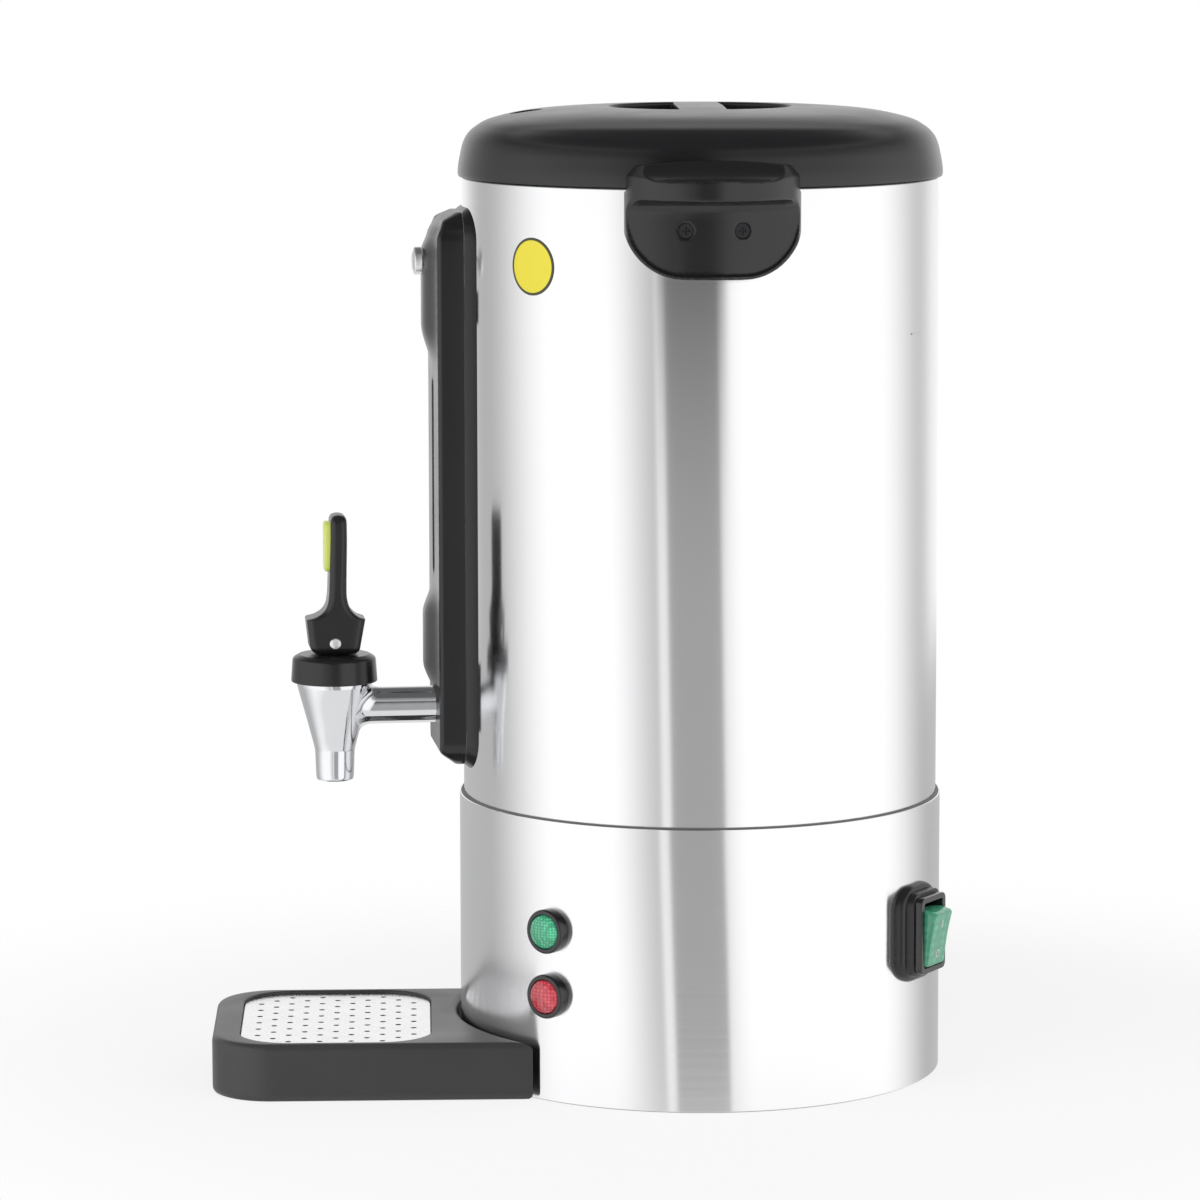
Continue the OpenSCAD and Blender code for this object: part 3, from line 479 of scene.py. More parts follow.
def arc(centre: tuple[float, float], radius: float, start: float, sweep: float, steps: int) -> Flat:
    """Points on an arc, with its start and sweep in degrees."""
    angles = (math.radians(start + sweep * k / steps) for k in range(steps + 1))
    return [(centre[0] + radius * math.cos(a), centre[1] + radius * math.sin(a)) for a in angles]


def smooth(share: float) -> float:
    """Soft step from 0 to 1, held at its ends."""
    t = min(max(share, 0.0), 1.0)
    return t * t * (3 - 2 * t)


def offset(outline: Flat, by: float) -> Flat:
    """Moves a closed outline outwards, or inwards when by is negative."""
    made: Flat = []
    count = len(outline)
    area = sum(a[0] * b[1] - b[0] * a[1] for a, b in zip(outline, outline[1:] + outline[:1]))
    side = 1 if area > 0 else -1
    for i in range(count):
        back, on = Vector(outline[i - 1]), Vector(outline[(i + 1) % count])
        along = (on - back).normalized()
        made.append((outline[i][0] + side * along.y * by, outline[i][1] - side * along.x * by))
    return made


def inside(point: tuple[float, float], outline: Flat) -> bool:
    """Whether a point lies inside an outline."""
    x, y = point
    hit = False
    for (ax, ay), (bx, by) in zip(outline, outline[1:] + outline[:1]):
        if (ay > y) != (by > y) and x < ax + (y - ay) * (bx - ax) / (by - ay):
            hit = not hit
    return hit


def near(point: tuple[float, float], outline: Flat, reach: float) -> bool:
    """Whether a point lies closer than reach to a corner of an outline."""
    return any((px - point[0]) ** 2 + (py - point[1]) ** 2 < reach * reach for px, py in outline)


@dataclass
class Skin:
    """Points and faces of one piece while it is being made, in millimetres."""

    points: list[Vector] = field(default_factory=list)
    faces: list[tuple[int, ...]] = field(default_factory=list)

    def loop(self, points: Iterable[Sequence[float]]) -> list[int]:
        """Adds points and returns their numbers."""
        first = len(self.points)
        self.points.extend(Vector(p) for p in points)
        return list(range(first, len(self.points)))

    def bridge(self, a: list[int], b: list[int]) -> None:
        """Joins two loops that have as many points."""
        count = len(a)
        for i in range(count):
            j = (i + 1) % count
            self.faces.append((a[i], a[j], b[j], b[i]))

    def grow(self, ring: list[int], loops: Iterable[Iterable[Sequence[float]]]) -> list[int]:
        """Joins one loop after another on to a ring and returns the last one's numbers."""
        for points in loops:
            following = self.loop(points)
            self.bridge(ring, following)
            ring = following
        return ring

    def cap(self, loop: list[int]) -> None:
        """Closes a loop with triangles about its centre."""
        centre = sum((self.points[i] for i in loop), Vector()) / len(loop)
        hub = self.loop([centre])[0]
        for i, j in zip(loop, loop[1:] + loop[:1]):
            self.faces.append((i, j, hub))

    def loft(self, loops: Sequence[Iterable[Sequence[float]]], first: bool = True, last: bool = True) -> None:
        """Joins loops in a row and closes the ends that are asked for."""
        start = self.loop(loops[0])
        stop = self.grow(start, loops[1:])
        if first:
            self.cap(start)
        if last:
            self.cap(stop)

    def revolve(self, profile: Flat, segments: int = 96, closed: bool = False) -> None:
        """Turns a profile of radius and height about the Z axis."""
        rows = []
        for radius, z in profile:
            if radius < 1e-6:
                rows.append(self.loop([(0.0, 0.0, z)]) * segments)
                continue
            rows.append(self.loop([(x, y, z) for x, y in circle(radius, segments)]))
        pairs = list(zip(rows, rows[1:]))
        if closed:
            pairs.append((rows[-1], rows[0]))
        for a, b in pairs:
            for i in range(segments):
                j = (i + 1) % segments
                corners = list(dict.fromkeys((a[i], a[j], b[j], b[i])))
                if len(corners) > 2:
                    self.faces.append(tuple(corners))

    def sheet(self, outer: Flat, holes: Sequence[Flat], extra: Flat, lift: Callable[[float, float], Sequence[float]],
              flip: bool = False) -> tuple[list[int], list[list[int]]]:
        """Fills an outline that has holes.

        Args:
            outer: the outline.
            holes: outlines of the holes.
            extra: points inside, which let the sheet curve.
            lift: gives the place in space of a point of the flat sheet.
            flip: turns the faces over.

        Returns:
            The numbers of the outer loop's points, and of each hole's.
        """
        flat = [Vector(p) for p in outer]
        outlines = [list(range(len(outer)))]
        for hole in holes:
            outlines.append(list(range(len(flat), len(flat) + len(hole))))
            flat.extend(Vector(p) for p in hole)
        flat.extend(Vector(p) for p in extra)
        edges = [(o[i], o[(i + 1) % len(o)]) for o in outlines for i in range(len(o))]
        spots, _, faces, origin, _, _ = delaunay_2d_cdt(flat, edges, [], 0, 1e-5)
        found = {source: i for i, sources in enumerate(origin) for source in sources}
        base = self.loop([lift(p.x, p.y) for p in spots])
        voids = [(Vector(map(sum, zip(*hole))) / len(hole), hole) for hole in holes]
        voids = [(centre, max((Vector(p) - centre).length for p in hole), hole) for centre, hole in voids]
        for face in faces:
            centre = sum((spots[i] for i in face), Vector((0, 0))) / len(face)
            taken = any((centre - at).length < reach and inside(centre, hole) for at, reach, hole in voids)
            if taken or not inside(centre, outer):
                continue
            numbers = [base[i] for i in face]
            self.faces.append(tuple(reversed(numbers) if flip else numbers))
        loops = [[base[found[i]] for i in o] for o in outlines]
        return loops[0], loops[1:]

    def build(self, name: str, place: Matrix | None = None, crease: float = 32.0) -> bpy.types.Object:
        """Turns the skin into a piece.

        Args:
            name: the piece's name.
            place: where it stands, in millimetres.
            crease: edges sharper than this many degrees stay crisp.

        Returns:
            The piece, in metres.
        """
        mesh = bpy.data.meshes.new(name)
        matrix = place or Matrix.Identity(4)
        mesh.from_pydata([(matrix @ p) * MM for p in self.points], [], self.faces)
        work = bmesh.new()
        work.from_mesh(mesh)
        bmesh.ops.remove_doubles(work, verts=work.verts, dist=2e-6)
        bmesh.ops.dissolve_degenerate(work, edges=work.edges, dist=1e-6)
        bmesh.ops.recalc_face_normals(work, faces=work.faces)
        work.to_mesh(mesh)
        work.free()
        mesh.shade_smooth()
        mesh.set_sharp_from_angle(angle=math.radians(crease))
        piece = bpy.data.objects.new(name, mesh)
        bpy.context.scene.collection.objects.link(piece)
        return piece


def baked(piece: bpy.types.Object) -> bpy.types.Object:
    """Applies a piece's modifiers."""
    ready = piece.evaluated_get(bpy.context.evaluated_depsgraph_get())
    mesh = bpy.data.meshes.new_from_object(ready)
    piece.modifiers.clear()
    piece.data = mesh
    return piece


def moulded(name: str, nodes: Sequence[str], voxel: float, passes: int) -> bpy.types.Object:
    """Makes a piece with soft edges from the shape of frame nodes.

    Args:
        name: the piece's name.
        nodes: nodes whose shape it takes.
        voxel: size of the mesh it is cast in, in millimetres.
        passes: how often its edges are eased.

    Returns:
        The piece.
    """
    work = bmesh.new()
    for node in nodes:
        work.from_mesh(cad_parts[node].data)
    bmesh.ops.remove_doubles(work, verts=work.verts, dist=1e-6)
    mesh = bpy.data.meshes.new(name)
    work.to_mesh(mesh)
    work.free()
    mesh.materials.clear()
    piece = bpy.data.objects.new(name, mesh)
    bpy.context.scene.collection.objects.link(piece)
    cast = piece.modifiers.new("cast", "REMESH")
    cast.mode, cast.voxel_size, cast.use_smooth_shade = "VOXEL", voxel * MM, True
    ease = piece.modifiers.new("ease", "SMOOTH")
    ease.factor, ease.iterations = 0.5, passes
    baked(piece)
    piece.data.shade_smooth()
    return piece


def fit(piece: bpy.types.Object, finish: Finish, body: Body, *stands_for: str) -> bpy.types.Object:
    """Hands a finished piece to the frame.

    Args:
        piece: the piece, in place.
        finish: its finish.
        body: the body it moves with.
        stands_for: frame nodes that it takes the place of.

    Returns:
        The piece.
    """
    piece.data.materials.clear()
    piece.data.materials.append(finish.material())
    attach(piece, body.value)
    if stands_for:
        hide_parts(*stands_for)
    LOG.info("%s: %d faces, rides on %s", piece.name, len(piece.data.polygons), body.value)
    return piece


def spun(name: str, profile: Flat, segments: int, finish: Finish, body: Body, *stands_for: str,
         place: Matrix | None = None, closed: bool = True) -> bpy.types.Object:
    """Makes a piece by turning a profile about a line along Z.

    Args:
        name: the piece's name.
        profile: radius and height of each corner.
        segments: how many steps the turn has.
        finish: its finish.
        body: the body it moves with.
        stands_for: frame nodes that it takes the place of.
        place: where it stands.
        closed: whether the profile is an outline.

    Returns:
        The piece.
    """
    skin = Skin()
    skin.revolve(profile, segments, closed)
    return fit(skin.build(name, place), finish, body, *stands_for)


def lofted(name: str, loops: Sequence[Iterable[Sequence[float]]], finish: Finish, body: Body, *stands_for: str,
           place: Matrix | None = None, first: bool = True, last: bool = True) -> bpy.types.Object:
    """Makes a piece by joining loops in a row.

    Args:
        name: the piece's name.
        loops: the loops, each with as many points.
        finish: its finish.
        body: the body it moves with.
        stands_for: frame nodes that it takes the place of.
        place: where it stands.
        first: whether the first loop is closed.
        last: whether the last loop is closed.

    Returns:
        The piece.
    """
    skin = Skin()
    skin.loft(loops, first, last)
    return fit(skin.build(name, place), finish, body, *stands_for)


def dress(finish: Finish, *nodes: str) -> None:
    """Gives a finish to frame nodes that keep their shape."""
    for name in nodes:
        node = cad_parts[name]
        node.data.materials.clear()
        node.data.materials.append(finish.material())
        LOG.info("%s: frame node in %s", name, finish.name)


# ---- sub-assemblies ------------------------------------------------------------------


@dataclass
class Base:
    """Skirt, seam, foot ring and what the skirt hides."""

    sheet: float = 0.8
    edge: float = 0.5
    lip: float = 0.5
    drop: float = 0.4
    flange: float = 6.0
    foot_wide: float = 6.8

    def __post_init__(self) -> None:
        """Reads the skirt's size."""
        low, high = span("skirt_shell")
        self.radius, self.low, self.top = high.x, low.z, high.z

    def skirt(self) -> bpy.types.Object:
        """The rolled skirt, its top edge eased and its foot turned in."""
        inner = self.radius - self.sheet
        profile = rounded(
            [(inner, self.low + self.sheet), (inner, self.top), (self.radius, self.top), (self.radius, self.drop),
             (inner, self.drop), (inner, self.low), (inner - self.flange, self.low),
             (inner - self.flange, self.low + self.sheet)],
            [0, 0.3, self.edge, 0.3, 0.15, 0, 0.3, 0], 6)
        return spun("skirt_sheet", profile, FINE, POLISHED, Body.URN, "skirt_shell")

    def seam(self) -> bpy.types.Object:
        """The dark ring that closes the step between skirt and tank."""
        low = span("seam_ring")[0].z
        inner, outer, lift = span("tank_shell")[1].x + 0.02, self.radius - self.sheet - 0.02, self.top + self.lip
        profile = rounded([(inner, low), (outer, low), (outer, lift), (inner, lift)], [0, 0, 0.25, 0.1], 4)
        return spun("seam_band", profile, FINE, SEAM_BAND, Body.URN, "seam_ring")

    def foot(self) -> bpy.types.Object:
        """The rubber ring that the urn stands on, just inside the skirt's wall."""
        low, high = span("foot_ring")
        wall = self.radius - self.sheet
        inner, outer = wall - self.foot_wide, wall - 0.05
        profile = rounded([(inner, low.z), (outer, low.z), (outer, high.z), (inner, high.z)],
                          [0.3, 0.3, 0.2, 0.2], 3, closed=True)
        return spun("foot_band", profile, 192, RUBBER, Body.URN, "foot_ring")

    def build(self) -> None:
        """Makes the base."""
        self.skirt()
        self.seam()
        self.foot()
        dress(INNER_STEEL, "base_plate", "tie_posts", "brew_element")
        dress(ZINC, "base_screws")
        dress(BLACK, "cord_gland", "gland_nut")
        dress(CERAMIC, "terminal_block")
        dress(WIRE_RED, "wiring")
        dress(ALUMINIUM, "heater_plate", "warm_element")
        dress(INNER_BLACK, "thermostat")
        dress(BRASS, "thermal_cutout")


@dataclass
class Tank:
    """The tank's shell and floor, the plain dot and the plain level line."""

    sheet: float = 0.8
    lip: float = 5.5
    line_turn: float = -30.7
    line_z: float = 348.0
    line_wide: float = 9.0
    line_tall: float = 1.1
    line_rise: float = 0.35

    def __post_init__(self) -> None:
        """Reads the tank's size."""
        low, high = span("tank_shell")
        self.radius, self.low, self.rim = high.x, low.z, high.z

    def shell(self) -> bpy.types.Object:
        """The rolled tank wall with its rim turned in."""
        inner = self.radius - self.sheet
        profile = rounded(
            [(inner, self.low), (inner, self.rim - self.sheet), (self.radius - self.lip, self.rim - self.sheet),
             (self.radius - self.lip, self.rim), (self.radius, self.rim), (self.radius, self.low)],
            [0, 0.5, 0.2, 0.2, 1.2, 0], 5)
        return spun("tank_sheet", profile, FINE, POLISHED, Body.URN, "tank_shell")

    def dot(self) -> bpy.types.Object:
        """The plain yellow dot with its dark rim."""
        centre = middle("heat_dot")
        low, high = span("heat_dot")
        turn = math.degrees(math.atan2(centre.y, centre.x))
        radius = (high.z - low.z) / 2
        spot = turned(turn, self.radius, centre.z) @ Vector()
        film = RimmedFilm("plain_yellow_film", Slot.YELLOW, (0.93, 0.80, 0.04), 0.34, tuple(spot), radius)
        loops = []
        for share, rise in ((1.0, 0.03), (1.0, 0.22), (0.985, 0.28), (0.6, 0.28), (0.25, 0.28)):
            loops.append([(math.sqrt((self.radius + rise) ** 2 - y * y), y, centre.z + z)
                          for y, z in circle(share * radius, 72)])
        return lofted("plain_dot", loops, film, Body.URN, "heat_dot", place=turned(turn), first=False)

    def level_line(self) -> bpy.types.Object:
        """A short plain line, raised in the wall."""
        loops = []
        for share, rise in ((1.0, 0.0), (0.86, 0.7), (0.7, 1.0)):
            outline = round_rect(self.line_wide, self.line_tall * share, 0.3 * share, 4, 6)
            reach = (self.radius + self.line_rise * rise) ** 2
            loops.append([(math.sqrt(reach - y * y), y, self.line_z + z) for y, z in outline])
        return lofted("level_line", loops, POLISHED, Body.URN, place=turned(self.line_turn), first=False)

    def build(self) -> None:
        """Makes the tank."""
        self.shell()
        self.dot()
        self.level_line()
        dress(INNER_STEEL, "tank_floor")


@dataclass
class SideHandles:
    """The two moulded handles and their screws."""

    voxel: float = 0.55
    passes: int = 7

    def build(self) -> None:
        """Makes the handles."""
        for side in ("near", "far"):
            piece = moulded(f"{side}_handle", [f"handle_{side}"], self.voxel, self.passes)
            fit(piece, BLACK, Body.URN, f"handle_{side}")
        dress(DARK_SCREW, "handle_screws")
        dress(ZINC, "handle_nuts")


@dataclass
class PanelLamps:
    """Two round lamps: bezel, lens and nut."""

    face: float = 5.0
    flange: float = 10.15

    def place(self, lens: str) -> Matrix:
        """Frame of a lamp: X out of the wall."""
        centre = middle(lens)
        turn = math.degrees(math.atan2(centre.y, centre.x))
        return turned(turn, span("skirt_shell")[1].x, centre.z) @ Matrix.Rotation(math.radians(90), 4, "Y")

    def bezel(self, name: str, place: Matrix, wall: float) -> bpy.types.Object:
        """A bezel whose back follows the round wall."""
        front = rounded([(self.flange, 0), (self.flange, self.face), (7.9, self.face), (7.7, 1.7), (4.2, 1.7)],
                        [0, 1.5, 0.5, 0.3, 0], 5)
        loops = []
        for radius, height in front:
            loops.append([(x, y, height if height else math.sqrt(wall * wall - y * y) - wall)
                          for x, y in circle(radius, 96)])
        return lofted(name, loops, GLOSS_BLACK, Body.URN, "lamp_bezels", place=place, first=False, last=False)

    def lens(self, name: str, node: str, finish: Finish) -> None:
        """A domed lens."""
        dome = eased([(7.55, 1.8), (7.55, 4.6), (7.0, 5.8), (5.6, 6.8), (3.4, 7.75), (1.4, 8.15), (0.0, 8.2)], 5)
        spun(name, dome, 96, finish, Body.URN, node, place=self.place(node), closed=False)

    def build(self) -> None:
        """Makes both lamps."""
        wall = span("skirt_shell")[1].x
        self.bezel("upper_bezel", self.place("green_lens"), wall)
        self.bezel("lower_bezel", self.place("red_lens"), wall)
        self.lens("upper_lens", "green_lens", GREEN)
        self.lens("lower_lens", "red_lens", RED)
        dress(INNER_BLACK, "lamp_nuts")


@dataclass
class RockerSwitch:
    """Panel switch: rubber-like surround, inner frame and clear rocker."""

    width: float = 34.0
    height: float = 45.0
    corner: float = 11.0
    tilt: float = 10.0
    pivot: float = 2.0
    aim: float = -32.0
    aim_slack: float = 3.0
    cap_wide: float = 17.8
    cap_tall: float = 26.0
    hollow: float = 0.7

    def __post_init__(self) -> None:
        """Reads where the switch sits. A turned piece's box is a little off its line, so a turn near the aim is the
        aim."""
        centre = middle("switch_surround")
        self.wall = span("skirt_shell")[1].x
        self.turn = math.degrees(math.atan2(centre.y, centre.x))
        near_aim = abs(self.turn - self.aim) < self.aim_slack
        self.place = turned(self.aim if near_aim else self.turn, self.wall, centre.z)

    def ring(self, width: float, height: float, corner: float, x: float | None, steps: int = 10) -> list[tuple]:
        """One outline of the switch; with no x it lies on the round wall."""
        made = []
        for y, z in round_rect(width, height, corner, steps, 8):
            made.append((math.sqrt(self.wall ** 2 - y * y) - self.wall if x is None else x, y, z))
        return made

    def surround(self) -> bpy.types.Object:
        """The surround with its soft steps."""
        w, h, r = self.width, self.height, self.corner
        loops = [self.ring(w, h, r, None)]
        for inset, x in ((0.0, 0.6), (0.25, 1.6), (0.9, 2.5), (2.0, 3.2), (2.9, 3.5), (3.6, 3.6)):
            loops.append(self.ring(w - inset, h - inset, r - inset / 2, x))
        for inset, x in ((5.6, 3.6), (5.9, 3.9), (6.0, 6.2), (6.3, 6.8), (6.9, 7.0), (9.6, 7.0)):
            loops.append(self.ring(w - inset, h - inset, max(5.0 - inset / 8, 2.5) + 1.6, x))
        return lofted("switch_surround_piece", loops, BLACK_FINE, Body.URN, "switch_surround", place=self.place,
                      first=False, last=False)

    def frame(self) -> bpy.types.Object:
        """The inner frame that the rocker turns in."""
        loops = []
        for width, height, corner, x in ((24.5, 35.5, 3, 6.9), (24.5, 35.5, 3, 9.9), (24.2, 35.2, 2.9, 10.4),
                                         (23.4, 34.4, 2.6, 10.5), (19.2, 30.6, 1.4, 10.5), (18.6, 30.2, 1.2, 10.1),
                                         (18.5, 30.0, 1.1, 0.4)):
            loops.append(self.ring(width, height, corner, x, 6))
        piece = lofted("switch_frame", loops, GLOSS_BLACK, Body.URN, place=self.place, first=False)
        low = Skin()
        low.loft([self.ring(21, 32.4, 1.5, -22, 4), self.ring(21, 32.4, 1.5, -1.2, 4)])
        for side in (-1, 0, 1):
            low.loft([[(x, y, z + side * 9) for x, y, z in self.ring(6, 0.8, 0.2, depth, 3)] for depth in (-30, -22)])
        fit(low.build("switch_housing", self.place), GLOSS_BLACK, Body.URN, "switch_body")
        return piece

    def dip(self, z: float) -> float:
        """How deep the rocker's face is hollowed at a height."""
        return self.hollow * (1 - (2 * z / self.cap_tall) ** 2)

    def rocker(self) -> bpy.types.Object:
        """The clear rocker, a little hollow along its face, with soft edges."""
        loops = []
        deep = ((0.4, 0.0, 3.0), (0.2, 3.0, 1.0), (0.0, 6.0, 0.0), (0.0, 9.6, 0.0), (0.25, 11.2, 0.1),
                (0.9, 12.1, 0.5), (2.2, 12.25, 1.2))
        for inset, x, shrink in deep:
            loops.append([(x - (self.dip(z) if x > 11 else 0.0), y, z) for y, z in
                          round_rect(self.cap_wide - inset - shrink, self.cap_tall - inset - shrink, 1.6, 5, 10)])
        loops.append([(12.2 - self.dip(z), y, z) for y, z in round_rect(12.0, 20.0, 1.6, 5, 10)])
        tip = self.place @ Matrix.Translation((self.pivot, 0, 0)) @ Matrix.Rotation(math.radians(self.tilt), 4, "Y")
        piece = lofted("rocker_cap", loops, GREEN_ROCKER, Body.ROCKER, "switch_rocker", place=tip)
        marks = Skin()
        marks.loft([[(x, y, z + 7.2) for x, y, z in self.ring(0.9, 3.6, 0.3, depth, 3)] for depth in (11.2, 11.95)])
        marks.loft(self.oval(0.9, 11.2, 12.0, -7.2))
        fit(marks.build("rocker_marks", tip), SILICONE, Body.ROCKER)
        return piece

    def oval(self, wall: float, low: float, high: float, z0: float) -> list[list[tuple]]:
        """A small raised ring for the off side."""
        loops = []
        for radius, x in ((1.9, low), (1.9, high), (1.9 - wall * 0.7, high), (1.9 - wall * 0.7, low)):
            loops.append([(x, y, z) for y, z in circle(radius, 32, 0.0, z0)])
        return loops

    def build(self) -> None:
        """Makes the switch."""
        self.surround()
        self.frame()
        self.rocker()


@dataclass
class SightGauge:
    """Gauge housing on the front, with its cap, block, plug and clear tube."""

    edge: float = 2.2
    width: float = 52.8
    stand_off: float = 1.8
    thick: float = 14.0
    boss_rise: float = 5.2
    cap_drop: float = 23.0
    cap_in: float = 8.0
    step: float = 2.2
    corner: float = 13.0
    window_wide: float = 8.0
    window_from: float = 19.5
    window_to: float = 12.0
    window_less: float = 96.0
    boss_half: float = 2.0

    def __post_init__(self) -> None:
        """Reads the direction and size of the gauge from the tap and the cover."""
        tap = middle("tap_bonnet")
        self.turn = math.degrees(math.atan2(-tap.y, -tap.x))
        self.place = Matrix.Rotation(math.radians(self.turn), 4, "Z")
        low, high = span("gauge_cover")
        self.low, self.top = low.z, high.z
        self.tank = span("tank_shell")[1].x
        self.back = self.tank + self.stand_off
        self.flat = self.tank + self.thick
        self.boss = self.flat + self.boss_rise
        self.cap_z = self.top - self.cap_drop
        self.tap_z = middle("tap_nut").z

    def rise(self, z: float) -> float:
        """How far the front stands out at a height, along its middle."""
        steps = [(self.low, self.flat - 6.9), (self.low + 8, self.flat), (self.tap_z + 4, self.flat + 0.2),
                 (self.tap_z + 20, self.boss), (self.tap_z + 43, self.boss), (self.tap_z + 58, self.flat + 0.2),
                 (self.cap_z - 51, self.flat + 0.2), (self.cap_z - 29, self.boss), (self.top - 19, self.boss),
                 (self.top - 9, self.flat + 1.8), (self.top - 3.5, self.flat - 3.0), (self.top, self.flat - 8)]
        return self.between(steps, z)

    def plain(self, z: float) -> float:
        """How far the front stands out beside the bosses."""
        steps = [(self.low, self.flat - 6.9), (self.low + 8, self.flat), (self.top - 12, self.flat),
                 (self.top - 4.5, self.flat - 2.5), (self.top, self.flat - 8)]
        return self.between(steps, z)

    @staticmethod
    def between(steps: Sequence[tuple[float, float]], at: float) -> float:
        """Smooth step between listed values."""
        if at <= steps[0][0]:
            return steps[0][1]
        for (a, low), (b, high) in zip(steps, steps[1:]):
            if at <= b:
                return low + (high - low) * smooth((at - a) / (b - a))
        return steps[-1][1]

    def front(self, y: float, z: float) -> float:
        """Distance of the front from the tank's axis: the bosses swell softly over the whole width."""
        share = 1 - smooth((abs(y) - self.boss_half) / (self.width / 2 - self.boss_half))
        return self.plain(z) + (self.rise(z) - self.plain(z)) * share

    def outline(self, inset: float) -> Flat:
        """Outline of the housing seen from the front."""
        middle_z = (self.low + self.top) / 2
        tall, wide = self.top - self.low - 2 * inset, self.width - 2 * inset
        return [(y, z + middle_z) for y, z in round_rect(wide, tall, self.corner - inset, 12, 40)]

    def cover(self) -> bpy.types.Object:
        """The cover: a soft-edged front with a window, and its walls."""
        skin = Skin()
        window_z = (self.tap_z + self.window_from + self.cap_z - self.window_to) / 2
        tall = self.cap_z - self.tap_z - self.window_from - self.window_less
        window = [(y, z + window_z) for y, z in round_rect(self.window_wide, tall, 5, 8, 16)]
        rows = []
        for k in range(7):
            a = math.radians(90 * k / 6)
            inset, drop = self.edge * (1 - math.cos(a)), self.edge * (1 - math.sin(a))
            rows.append([(-(self.front(y, z) - drop), y, z) for y, z in self.outline(inset)])
        walls = [[(-self.back - 0.05, y, z) for y, z in self.outline(0.15)],
                 [(-self.back - 0.2, y, z) for y, z in self.outline(0.0)]]
        skin.loft([*walls, *rows[:-1]], first=False, last=False)
        last = list(range(len(skin.points) - len(rows[0]), len(skin.points)))
        inner = self.outline(self.edge)
        grid = []
        y = -self.width / 2
        while y < self.width / 2:
            z = self.low
            while z < self.top:
                spot = (y, z)
                if inside(spot, inner) and not near(spot, inner, 1.3) and not inside(spot, offset(window, 1.6)):
                    grid.append(spot)
                z += self.step
            y += self.step
        rim = offset(window, 0.9)
        edge, holes = skin.sheet(inner, [rim], grid, lambda a, b: (-self.front(a, b), a, b))
        skin.bridge(last, edge)
        skin.grow(holes[0], ([(-self.front(y, z) + down, y, z) for y, z in offset(window, out)]
                             for out, down in ((0.45, 0.12), (0.12, 0.45), (0.0, 0.9), (0.0, 2.2))))
        return fit(skin.build("gauge_cover_piece", self.place, 40), BLACK, Body.URN, "gauge_cover")

    def frame(self) -> bpy.types.Object:
        """The flange between cover and tank; its back follows the tank."""
        loops = []
        for inset, share in ((5.0, 0.0), (0.15, 0.0), (0.0, 0.06), (-0.5, 0.25), (-1.2, 0.6), (-1.8, 0.9), (-1.9, 1.0),
                             (5.0, 1.0), (5.0, 0.0)):
            loops.append([(-(self.back + (math.sqrt(self.tank ** 2 - y * y) - self.back) * share), y, z)
                          for y, z in self.outline(inset)])
        return lofted("gauge_flange", loops, BLACK, Body.URN, "gauge_frame", place=self.place, first=False, last=False)

    def cap(self) -> bpy.types.Object:
        """The round cap of the upper fixing."""
        face = self.boss
        profile = rounded([(2.5, self.tank - self.cap_in), (2.5, face), (6.3, face), (6.3, face + 3.2),
                           (3.4, face + 4.2), (0, face + 4.4)], [0, 0, 0.2, 0.9, 1.5, 0], 5)
        place = self.place @ Matrix.Translation((0, 0, self.cap_z)) @ Matrix.Rotation(math.radians(-90), 4, "Y")
        return spun("gauge_cap_piece", profile, 64, SATIN_CAP, Body.URN, "gauge_cap", place=place, closed=False)

    def build(self) -> None:
        """Makes the gauge."""
        for piece in (self.frame(), self.cover()):
            piece.visible_glossy = False
        self.cap()
        dress(ZINC, "gauge_nut")
        dress(INNER_BLACK, "gauge_block", "gauge_plug")
        dress(SILICONE, "gauge_seals")
        dress(TUBE, "sight_tube")


